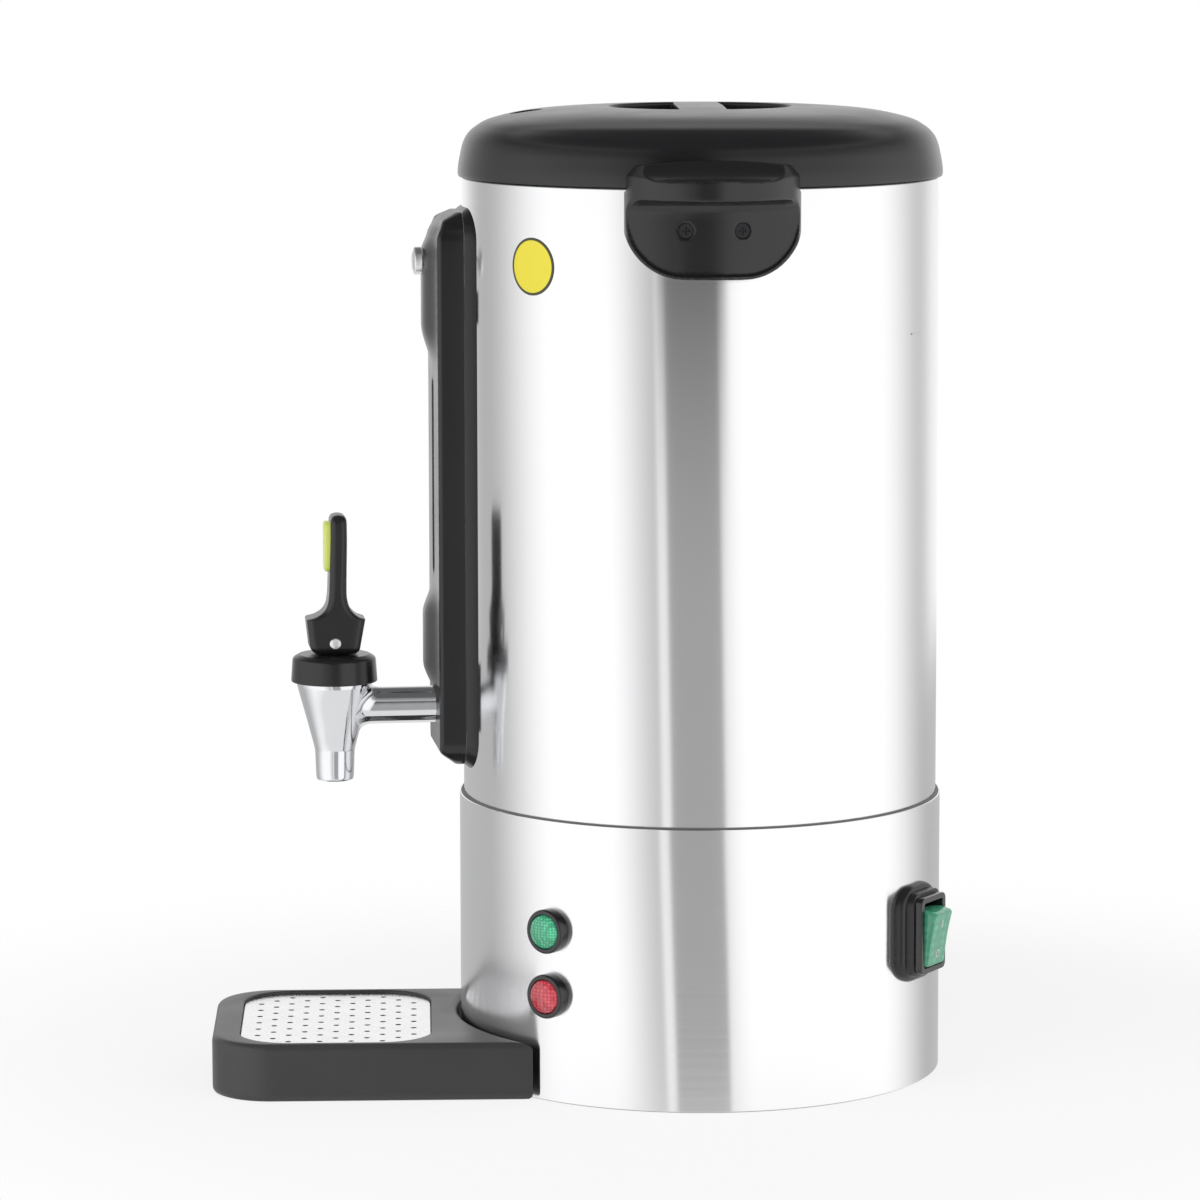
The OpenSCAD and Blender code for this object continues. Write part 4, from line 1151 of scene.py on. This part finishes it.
@dataclass
class LeverTap:
    """Chrome tap with its collar, spring-loaded stem and lever."""

    shank: float = 8.5
    bore: float = 5.5
    blend: float = 5.5
    collar_tall: float = 12.8
    well: float = 12.8
    shank_in: float = 15.0
    lever_half: float = 9.5

    def __post_init__(self) -> None:
        """Reads where the tap stands."""
        centre = middle("tap_bonnet")
        self.reach = math.hypot(centre.x, centre.y)
        self.turn = math.degrees(math.atan2(-centre.y, -centre.x))
        self.collar_top = span("tap_bonnet")[1].z
        self.body_top = self.collar_top - self.collar_tall
        self.spout = span("tap_body")[0].z
        self.shank_z = middle("tap_nut").z
        self.lever_top = span("tap_lever")[1].z
        self.heel = span("tap_lever")[0].z
        self.place = Matrix.Rotation(math.radians(self.turn), 4, "Z") @ Matrix.Translation((-self.reach, 0, 0))

    def cone(self) -> Flat:
        """Outer profile of the body, from the spout up."""
        z = self.spout
        return eased([(8.5, z + 0.5), (8.8, z + 3), (9.15, z + 12.6), (9.55, z + 15.4), (11.1, z + 21.5),
                      (13.4, z + 30.2), (16.1, z + 40.0), (17.3, z + 44.6)], 4)

    def radius(self, z: float) -> float:
        """Radius of the body at a height."""
        profile = self.cone()
        for (ra, za), (rb, zb) in zip(profile, profile[1:]):
            if za <= z <= zb:
                return ra + (rb - ra) * (z - za) / (zb - za)
        return profile[-1][0] if z > profile[-1][1] else profile[0][0]

    def body(self) -> bpy.types.Object:
        """Body, shank and the hollow that joins them."""
        skin = Skin()
        z, top = self.spout, self.body_top
        seat = top - 18.4
        inner = [(self.well, top - 6), (8.4, seat), (self.bore, seat), (self.bore, z + 0.4), (self.bore + 0.5, z)]
        outer = [(self.well, top), (17.3, top), *reversed(self.cone()), (8.0, z)]
        skin.revolve([*outer, *reversed(inner)], 128, closed=True)
        tank = self.reach - (span("tank_shell")[1].x - self.shank_in)
        lines, shares = [], [k / 6 for k in range(1, 6)]
        wide = self.shank + self.blend * 0.75
        for (y0, z0), (y1, z1) in zip(circle(self.shank, 72, 0.0, self.shank_z), circle(wide, 72, 0.0, self.shank_z)):
            z1 = min(z1, top - 0.2)
            touch = math.sqrt(max(self.radius(z1) ** 2 - y1 * y1, 1.0)) - 0.05
            meet = math.sqrt(max(self.radius(z0) ** 2 - y0 * y0, 1.0))
            start, bend, stop = Vector((touch, y1, z1)), Vector((meet, y0, z0)), Vector((meet + self.blend, y0, z0))
            curve = [(1 - t) ** 2 * start + 2 * t * (1 - t) * bend + t * t * stop for t in shares]
            lines.append([start, *curve, stop, (tank, y0, z0)])
        skin.loft(list(zip(*lines)), first=False)
        return fit(skin.build("tap_body_piece", self.place, 40), CHROME, Body.URN, "tap_body")

    def collar(self) -> bpy.types.Object:
        """The black screw-on collar."""
        low, top = self.body_top, self.collar_top
        profile = rounded([(3.08, top), (16.4, top), (19.3, top - 1.6), (19.95, low + 1), (19.95, low), (13, low),
                           (13, top - 3.6), (3.08, top - 3.6)], [0.2, 1.6, 2.2, 3.0, 0.5, 0, 0, 0], 6)
        return spun("tap_collar", profile, 128, BLACK, Body.URN, "tap_bonnet", place=self.place)

    def section(self, z: float, left: float, right: float, half: float, corner: float) -> list[tuple]:
        """Level section of the lever."""
        corner = min(corner, half - 0.3, (right - left) / 2 - 0.05)
        return [(x + (left + right) / 2, y, z) for x, y in round_rect(right - left, 2 * half, max(corner, 0.2), 6, 6)]

    def lever(self) -> bpy.types.Object:
        """The lever: block, hollow flare and paddle, with a pocket for the stem's eye."""
        heel, top = self.heel, self.lever_top
        loops = []
        wide = self.lever_half
        for z in (0.0, 0.35, 0.9, 1.8, 3.0, 4.2, 5.2, 8.0, 12.0, 15.6, 16.2):
            left = -6.75 - (math.sqrt(max(25 - (5 - z) ** 2, 0)) if z < 5 else 5 + 1.3 * (z - 5) / 11.4)
            right = 8.4 + (math.sqrt(max(3.4 ** 2 - (3.4 - z) ** 2, 0)) if z < 3.4 else 3.4 + 2.4 * (z - 3.4) / 13)
            half = wide - (4 - math.sqrt(max(16 - (4 - z) ** 2, 0)) if z < 4 else 0) * 0.8
            loops.append(self.section(heel + z, left, right, half, 3.2))
        flare = [(16.5, -12.9, 14.1), (16.8, -12.3, 13.3), (17.7, -8.9, 11.0), (19.7, -5.6, 8.6), (22.6, -3.6, 6.7),
                 (27.0, -2.7, 5.7), (33.0, -2.4, 5.6)]
        lefts, rights = eased([(a, b) for a, b, _ in flare], 4), eased([(a, c) for a, _, c in flare], 4)
        for (z, left), (_, right) in zip(lefts, rights):
            loops.append(self.section(heel + z, left, right, wide, 3.0))
        for z, left, right in ((top - 12, -1.7, 5.95), (top - 4, -1.6, 5.9), (top - 2.4, -1.5, 5.8),
                               (top - 1.3, -1.1, 5.5), (top - 0.5, -0.4, 4.8), (top - 0.1, 0.7, 3.6)):
            down = top - z
            half = wide - (4 - math.sqrt(max(16 - (4 - down) ** 2, 0)) if down < 4 else 0)
            loops.append(self.section(z, left, right, half, 2.6))
        skin = Skin()
        skin.loft(loops, first=False)
        pocket = ([(x - 0.9, y, z) for x, y, _ in self.section(z, -6.7, 6.6, 4.3, 0.4)] for z in (heel, heel + 11.3))
        skin.cap(skin.grow(list(range(len(loops[0]))), pocket))
        return fit(skin.build("lever_piece", self.place, 36), BLACK_FINE, Body.LEVER, "tap_lever")

    def pad(self) -> bpy.types.Object:
        """The coloured pad on the front of the paddle."""
        loops = []
        for inset, x in ((0.0, -1.2), (0.0, -3.4), (0.3, -4.0), (0.9, -4.35), (2.2, -4.4)):
            outline = round_rect(13 - inset, 23 - inset, 3.2 - inset / 2, 6, 6)
            loops.append([(x, y, z + self.lever_top - 15) for y, z in outline])
        return lofted("lever_colour_pad", loops, LIME, Body.LEVER, "lever_pad", place=self.place)

    def pin(self) -> bpy.types.Object:
        """The lever's pin with its two dished ends."""
        centre = middle("lever_pin")
        end = [(2.7, 9.6), (2.2, 9.95), (1.4, 9.7), (0, 9.65)]
        profile = rounded([*((r, -z) for r, z in reversed(end)), *end], [0, 0.4, 0.3, 0.4, 0.4, 0.3, 0.4, 0], 3)
        place = self.place @ Matrix.Translation((0, 0, centre.z)) @ Matrix.Rotation(math.radians(90), 4, "X")
        return spun("lever_pin_piece", profile, 48, SATIN_CAP, Body.LEVER, "lever_pin", place=place, closed=False)

    def build(self) -> None:
        """Makes the tap."""
        self.body()
        self.collar()
        self.lever()
        self.pad()
        self.pin()
        dress(RUBBER, "tap_washers")
        dress(ZINC, "tap_nut", "tap_spring")
        dress(INNER_STEEL, "tap_stem")
        dress(SILICONE, "seat_cup")


@dataclass
class Lid:
    """Moulded lid with two finger openings, a grip bar between them and a vent."""

    recess: float = 42.0
    bar: float = 21.5
    split: float = 94.0
    rim: float = 1.3
    vent: float = -80.4
    vent_radius: float = 7.0
    ceiling_rise: float = 28.0
    thin: float = 2.6
    wall_steps: int = 20

    def __post_init__(self) -> None:
        """Reads the lid's size."""
        low, high = span("lid_shell")
        self.low, self.top, self.radius = low.z, high.z, high.x - 0.3
        self.crown = eased([(self.radius + dx, self.low + dz) for dx, dz in (
            (0.0, 0.0), (0.3, 1.5), (0.05, 5.0), (-0.75, 9.4), (-1.9, 14.4), (-3.9, 18.7), (-7.8, 22.5), (-14.8, 26.1),
            (-30.0, 29.5), (-50.0, 31.2), (-75.0, 32.0), (-self.radius + 12, 32.35), (-self.radius, 32.4))], 7)

    def height(self, radius: float) -> float:
        """Height of the crown at a distance from the axis."""
        roof = self.crown[self.wall_steps:]
        for (ra, za), (rb, zb) in zip(roof, roof[1:]):
            if rb <= radius <= ra:
                return zb + (za - zb) * (radius - rb) / max(ra - rb, 1e-6)
        return self.top

    def ceiling(self, radius: float) -> float:
        """Height of the underside of the crown."""
        return min(self.low + self.ceiling_rise, self.height(radius) - self.thin)

    def opening(self, side: int) -> Flat:
        """Outline of one finger opening."""
        start = math.acos(self.bar / 2 / self.recess)
        arc = [(self.recess * math.cos(a), self.recess * math.sin(a)) for a in
               (start * (1 - 2 * k / 44) for k in range(45))]
        chord = [(self.bar / 2, arc[-1][1] + (arc[0][1] - arc[-1][1]) * k / 20) for k in range(1, 20)]
        outline = [*arc, *chord]
        radii = [1.8 if i in (0, 44) else 0 for i in range(len(outline))]
        outline = rounded(outline, radii, 4, closed=True)
        return [(side * x, y) for x, y in (outline if side > 0 else reversed(outline))]

    def shell(self) -> bpy.types.Object:
        """The lid's shell."""
        skin = Skin()
        segments = 192
        seam = circle(self.split, segments)
        openings = [self.opening(1), self.opening(-1), circle(self.vent_radius, 48, self.vent)]
        rims = [offset(o, self.rim) for o in openings]
        grid = []
        radius = 2.0
        while radius < self.split - 2:
            for spot in circle(radius, max(8, int(2 * math.pi * radius / 3.4))):
                if not any(inside(spot, r) or near(spot, r, 1.3) for r in rims):
                    grid.append(spot)
            radius += 3.2
        top_edge, top_holes = skin.sheet(seam, rims, grid, lambda x, y: (x, y, self.height(math.hypot(x, y))))
        low_edge, low_holes = skin.sheet(seam, rims, grid, lambda x, y: (x, y, self.ceiling(math.hypot(x, y))), True)
        for outline, upper, lower in zip(openings, top_holes, low_holes):
            rings = []
            for k in range(1, 6):
                a = math.radians(90 * k / 5)
                out, down = self.rim * (1 - math.sin(a)), self.rim * (1 - math.cos(a))
                rings.append([(x, y, self.height(math.hypot(x, y)) - down) for x, y in offset(outline, out)])
            rings.append([(x, y, self.ceiling(math.hypot(x, y))) for x, y in outline])
            skin.bridge(skin.grow(upper, rings), lower)
        outer = [(r, z) for r, z in reversed(self.crown) if r > self.split + 0.4 or z < self.low + 20]
        inner = [(self.radius - inset, self.low + rise) for inset, rise in (
            (5.4, 0), (5.4, 3), (2.95, 3), (3.3, 8), (4.4, 14), (6.3, 17.4), (9.8, 20.2), (15.0, 23.0))]
        walls = ([(x, y, z) for x, y in circle(r, segments)] for r, z in (*outer, *inner))
        skin.bridge(skin.grow(top_edge, walls), low_edge)
        return fit(skin.build("lid_crown", None, 36), BLACK, Body.LID, "lid_shell")

    def build(self) -> None:
        """Makes the lid."""
        self.shell()
        dress(INNER_BLACK, "lid_liner")
        dress(SILICONE, "lid_seal")
        dress(ZINC, "lid_screws")


@dataclass
class Percolator:
    """Riser tube, pump bell, basket and its cover."""

    def build(self) -> None:
        """Dresses the insert, whose frame shapes are its real ones."""
        dress(INNER_STEEL, "riser_tube", "pump_bell", "basket", "basket_cover")


@dataclass
class DripTray:
    """The loose tray and its punched plate."""

    corner: float = 28.0
    sweep: float = 4.5
    gap: float = 1.6
    ledge: float = 3.0
    hole: float = 1.4
    pitch: float = 7.2

    def __post_init__(self) -> None:
        """Reads the sizes of tray and plate."""
        low, high = span("tray_body")
        self.front, self.near_y, self.far_y, self.top = low.x, low.y, high.y, high.z
        self.cut = span("skirt_shell")[1].x + self.sweep
        self.centre_x = self.sweep - self.gap
        low, high = span("tray_plate")
        self.plate_mid = (low + high) / 2
        self.plate_wide, self.plate_deep, self.seat = high.x - low.x, high.y - low.y, low.z

    def outline(self, inset: float) -> Flat:
        """Outline of the tray, with as many points at any inset."""
        radius = self.corner - inset
        left, near_y, far_y = self.front + inset, self.near_y + inset, self.far_y - inset
        reach = self.cut + inset
        near_x = self.centre_x - math.sqrt(reach ** 2 - near_y ** 2)
        far_x = self.centre_x - math.sqrt(reach ** 2 - far_y ** 2)
        made: Flat = [(near_x + (left + radius - near_x) * k / 30, near_y) for k in range(30)]
        made += arc((left + radius, near_y + radius), radius, 270, -90, 16)
        made += [(left, near_y + radius + (far_y - near_y - 2 * radius) * k / 18) for k in range(1, 18)]
        made += arc((left + radius, far_y - radius), radius, 180, -90, 16)
        made += [(left + radius + (far_x - left - radius) * k / 24, far_y) for k in range(1, 25)]
        start, stop = math.asin(far_y / reach), math.asin(near_y / reach)
        angles = (start + (stop - start) * k / 40 for k in range(1, 40))
        return made + [(self.centre_x - reach * math.cos(a), reach * math.sin(a)) for a in angles]

    def pocket(self, inset: float) -> Flat:
        """Outline of the hollow that takes the plate."""
        x, y = self.plate_mid.x, self.plate_mid.y
        wide, deep = self.plate_wide + 0.6 - 2 * inset, self.plate_deep + 0.6 - 2 * inset
        return [(x + a, y + b) for a, b in round_rect(wide, deep, 24.3 - inset, 14, 10)]

    def body(self) -> bpy.types.Object:
        """The moulded tray."""
        skin = Skin()
        edge = 3.4
        rows = [[(x, y, 0.0) for x, y in self.outline(1.6)], [(x, y, 0.35) for x, y in self.outline(0.7)],
                [(x, y, 1.4) for x, y in self.outline(0.1)], [(x, y, 3.0) for x, y in self.outline(0.0)]]
        for k in range(9):
            a = math.radians(90 * k / 8)
            inset, drop = edge * (1 - math.cos(a)), edge * (1 - math.sin(a))
            rows.append([(x, y, self.top - drop) for x, y in self.outline(inset)])
        last = skin.grow(skin.loop(rows[0]), rows[1:])
        rim = self.pocket(-0.9)
        upper, holes = skin.sheet(self.outline(edge), [rim], [], lambda x, y: (x, y, self.top))
        skin.bridge(last, upper)
        ledge, steps = self.ledge, ((0.3, 6.0), (1.2, 4.0), (3.2, 3.0))
        levels = [(-0.5, self.top - 0.12), (-0.12, self.top - 0.45), (0.0, self.top - 0.9), (0.0, self.seat),
                  (ledge + 0.3, self.seat), *((ledge + inset, z) for inset, z in steps)]
        skin.cap(skin.grow(holes[0], ([(x, y, z) for x, y in self.pocket(inset)] for inset, z in levels)))
        skin.sheet(self.outline(1.6), [], [], lambda x, y: (x, y, 0.0), True)
        return fit(skin.build("tray_moulding", None, 34), TRAY_BLACK, Body.TRAY, "tray_body")

    def holes(self) -> list[Flat]:
        """Outlines of the drain holes, in staggered columns."""
        made = []
        low, high = self.plate_wide / 2 - 24, self.plate_deep / 2 - 24
        for i in range(-6, 7):
            for j in range(-8, 9):
                x, y = i * self.pitch, j * self.pitch * 0.96
                far = math.hypot(max(abs(x) - low, 0), max(abs(y) - high, 0))
                if (i + j) % 2 or far > 19 or abs(x) > self.plate_wide / 2 - 5 or abs(y) > self.plate_deep / 2 - 5:
                    continue
                made.append(circle(self.hole, 20, x, y))
        return made

    def plate(self) -> bpy.types.Object:
        """The punched steel plate."""
        skin = Skin()
        holes = self.holes()
        rim = round_rect(self.plate_wide - 0.8, self.plate_deep - 0.8, 23.6, 14, 10)
        wide = round_rect(self.plate_wide, self.plate_deep, 24.0, 14, 10)
        top, top_holes = skin.sheet(rim, holes, [], lambda x, y: (x, y, 1.2))
        low, low_holes = skin.sheet(rim, holes, [], lambda x, y: (x, y, 0.0), True)
        skin.bridge(skin.grow(top, ([(x, y, z) for x, y in wide] for z in (0.85, 0.3))), low)
        for a, b in zip(top_holes, low_holes):
            skin.bridge(a, b)
        place = Matrix.Translation((self.plate_mid.x, self.plate_mid.y, self.seat))
        return fit(skin.build("drain_plate", place), PLATE_STEEL, Body.PLATE, "tray_plate")

    def build(self) -> None:
        """Makes the tray."""
        self.body()
        self.plate()


# ---- studio --------------------------------------------------------------------------


@dataclass(frozen=True)
class Card:
    """A sheet of light or a dark flag in the studio: its edges in degrees from the camera's side, where each edge
    starts and ends, and its brightness."""

    left: tuple[float, float]
    right: tuple[float, float]
    level: float


@dataclass
class Studio:
    """Floor, walls of light, one lamp and the camera."""

    eye: tuple[float, float, float] = (-133.1, -2463.9, 551.3)
    aim_turn: float = -2.01
    aim_down: float = 7.67
    aim_roll: float = -0.10
    lens: float = 159.8
    floor_radius: float = 0.62
    wall_radius: float = 1.0
    lean: float = 0.16
    room: float = 0.55
    soft_boxes: tuple[Card, ...] = (Card((-116, -66), (-42, -10), 1.28), Card((-4, 24), (90, 138), 1.28))
    bright_strip: Card = Card((-17.3, -16.5), (-12.9, -12.3), 1.10)
    dark_flag: Card = Card((-12.6, -11.9), (11.2, 12.0), 0.45)
    ceiling: float = 0.14
    back_card: float = 1.0
    black_card: float = 0.03
    ground: float = 0.95
    floor_glow: float = 0.78
    lamp_watts: float = 16.0
    lamp_size: float = 1.5
    lamp_at: tuple[float, float, float] = (-0.35, -0.75, 2.1)
    lamp_aim: tuple[float, float, float] = (0.0, 0.0, 0.2)

    def tone(self, graph: Graph, where: bpy.types.NodeSocket) -> bpy.types.NodeSocket:
        """Brightness of the studio in a direction.

        Args:
            graph: the tree to work in.
            where: the direction, or a place on the studio wall.

        Returns:
            Walls of light round the urn, a card high behind it, black high on the camera's side, dim overhead, white
            below.
        """
        split = graph.node("ShaderNodeSeparateXYZ", {0: where})
        x, y, z = split.outputs
        home = math.atan2(self.eye[1], self.eye[0])
        flat = graph.math("SQRT", graph.math("ADD", graph.times(x, x), graph.times(y, y)))
        rise = graph.math("DIVIDE", z, graph.math("MAXIMUM", flat, 0.001))
        turn = graph.math("SUBTRACT", graph.math("ARCTAN2", y, x), home)
        turn = graph.math("ADD", turn, graph.times(rise, self.lean))
        share = graph.math("FRACT", graph.math("ADD", graph.times(turn, 1 / (2 * math.pi)), 1.5))
        degrees = graph.times(graph.math("SUBTRACT", share, 0.5), 360.0)
        level = self.room
        for card in (*self.soft_boxes, self.bright_strip, self.dark_flag):
            amount = graph.times(graph.spread(degrees, *card.left, 0.0, 1.0),
                                graph.spread(degrees, *card.right, 1.0, 0.0))
            level = self.towards(graph, amount, level, card.level)
        aside = graph.math("ABSOLUTE", graph.math("SUBTRACT", share, 0.5))
        black = graph.times(graph.spread(aside, 0.036, 0.05, 1.0, 0.0),
                           graph.spread(rise, 0.20, 0.60, 0.0, 1.0))
        behind = graph.times(graph.spread(aside, 0.33, 0.42, 0.0, 1.0),
                            graph.spread(rise, 0.03, 0.11, 0.0, 1.0))
        overhead = graph.spread(rise, 0.45, 1.2, 0.0, 1.0)
        below = graph.spread(rise, -0.55, -0.26, 1.0, 0.0)
        for amount, to in ((black, self.black_card), (behind, self.back_card), (overhead, self.ceiling),
                           (below, self.ground)):
            level = self.towards(graph, amount, level, to)
        return level

    @staticmethod
    def towards(graph: Graph, amount: object, level: object, to: float) -> bpy.types.NodeSocket:
        """Mixes one brightness towards another."""
        return graph.node("ShaderNodeMix", {"Factor": amount, 2: level, 3: to}).outputs[0]

    def world(self) -> None:
        """White for the eye; the studio's brightness for the rest."""
        world = bpy.data.worlds.new("studio")
        bpy.context.scene.world = world
        world.use_nodes = True
        graph = Graph(world.node_tree)
        level = self.tone(graph, graph.node("ShaderNodeTexCoord").outputs["Generated"])
        room = graph.node("ShaderNodeBackground", {"Color": level, "Strength": 1.0})
        white = graph.node("ShaderNodeBackground", {"Color": (1, 1, 1, 1), "Strength": 1.0})
        path = graph.node("ShaderNodeLightPath")
        seen = graph.math("MAXIMUM", path.outputs["Is Camera Ray"], path.outputs["Is Transmission Ray"])
        both = graph.blend(seen, room, white)
        graph.node("ShaderNodeOutputWorld", {"Surface": both.outputs[0]})

    def wall(self) -> None:
        """A round wall of light that only reflections and soft light see."""
        skin = Skin()
        radius = self.wall_radius * 1000
        skin.revolve([(radius, -0.45 * radius), (radius, 0.25 * radius), (radius, 1.1 * radius)], 96)
        piece = skin.build("studio_wall")
        made, graph = new_material("studio_wall")
        glow = graph.node("ShaderNodeEmission", {"Color": self.tone(graph, graph.point()), "Strength": 1.0})
        graph.node("ShaderNodeOutputMaterial", {"Surface": glow.outputs[0]})
        piece.data.materials.append(made)
        piece.visible_camera = piece.visible_transmission = piece.visible_shadow = False

    def floor(self) -> None:
        """A pale round floor that keeps a soft shadow."""
        skin = Skin()
        skin.revolve([(self.floor_radius * 1000 * k / 12, -0.02) for k in range(13)], 96)
        piece = skin.build("floor")
        made, graph = new_material("pale_floor")
        grain = graph.noise(graph.point(), 60.0, 2.0)
        pale = graph.tint(grain, (0.90, 0.90, 0.90), (0.93, 0.93, 0.93))
        matt = graph.node("ShaderNodeBsdfDiffuse", {"Color": pale})
        light = graph.node("ShaderNodeEmission", {"Color": (1, 1, 1, 1), "Strength": 1.0})
        clear = graph.node("ShaderNodeBsdfTransparent")
        path = graph.node("ShaderNodeLightPath")
        lit = graph.blend(self.floor_glow, matt, light)
        seen = graph.blend(path.outputs["Is Camera Ray"], matt, lit)
        away = graph.node("ShaderNodeVectorMath", {0: graph.point()}, operation="LENGTH").outputs["Value"]
        edge = graph.spread(away, self.floor_radius * 0.42, self.floor_radius * 0.97, 0.0, 1.0)
        gone = graph.math("MAXIMUM", path.outputs["Is Glossy Ray"], edge)
        both = graph.blend(gone, seen, clear)
        graph.node("ShaderNodeOutputMaterial", {"Surface": both.outputs[0]})
        piece.data.materials.append(made)

    def lamp(self) -> None:
        """One wide soft lamp above and a little in front."""
        light = bpy.data.lights.new("soft_lamp", "AREA")
        light.shape, light.size, light.energy = "DISK", self.lamp_size, self.lamp_watts
        holder = bpy.data.objects.new("soft_lamp", light)
        holder.location = self.lamp_at
        holder.rotation_euler = (Vector(self.lamp_aim) - Vector(self.lamp_at)).to_track_quat("-Z", "Y").to_euler()
        holder.visible_glossy = False
        bpy.context.scene.collection.objects.link(holder)

    def camera(self) -> None:
        """The camera."""
        data = bpy.data.cameras.new("camera")
        data.lens, data.sensor_width, data.clip_start, data.clip_end = self.lens, 36.0, 0.05, 50.0
        holder = bpy.data.objects.new("camera", data)
        holder.location = Vector(self.eye) * MM
        aim = Matrix.Rotation(math.radians(self.aim_turn), 3, "Z")
        aim = aim @ Matrix.Rotation(math.radians(90 - self.aim_down), 3, "X")
        holder.rotation_euler = (aim @ Matrix.Rotation(math.radians(self.aim_roll), 3, "Z")).to_euler()
        bpy.context.scene.collection.objects.link(holder)
        bpy.context.scene.camera = holder

    def build(self) -> None:
        """Sets the studio up."""
        self.world()
        self.wall()
        self.floor()
        self.lamp()
        self.camera()
        bpy.context.scene.view_settings.view_transform = "Standard"


def main() -> None:
    """Builds the studio and the urn over its frame."""
    logging.basicConfig(level=logging.INFO, format="%(name)s: %(message)s")
    Studio().build()
    for part in (Base(), Tank(), SideHandles(), PanelLamps(), RockerSwitch(), SightGauge(), LeverTap(), Lid(),
                 Percolator(), DripTray()):
        LOG.info("building %s", type(part).__name__)
        part.build()


if __name__ == "__main__":
    main()
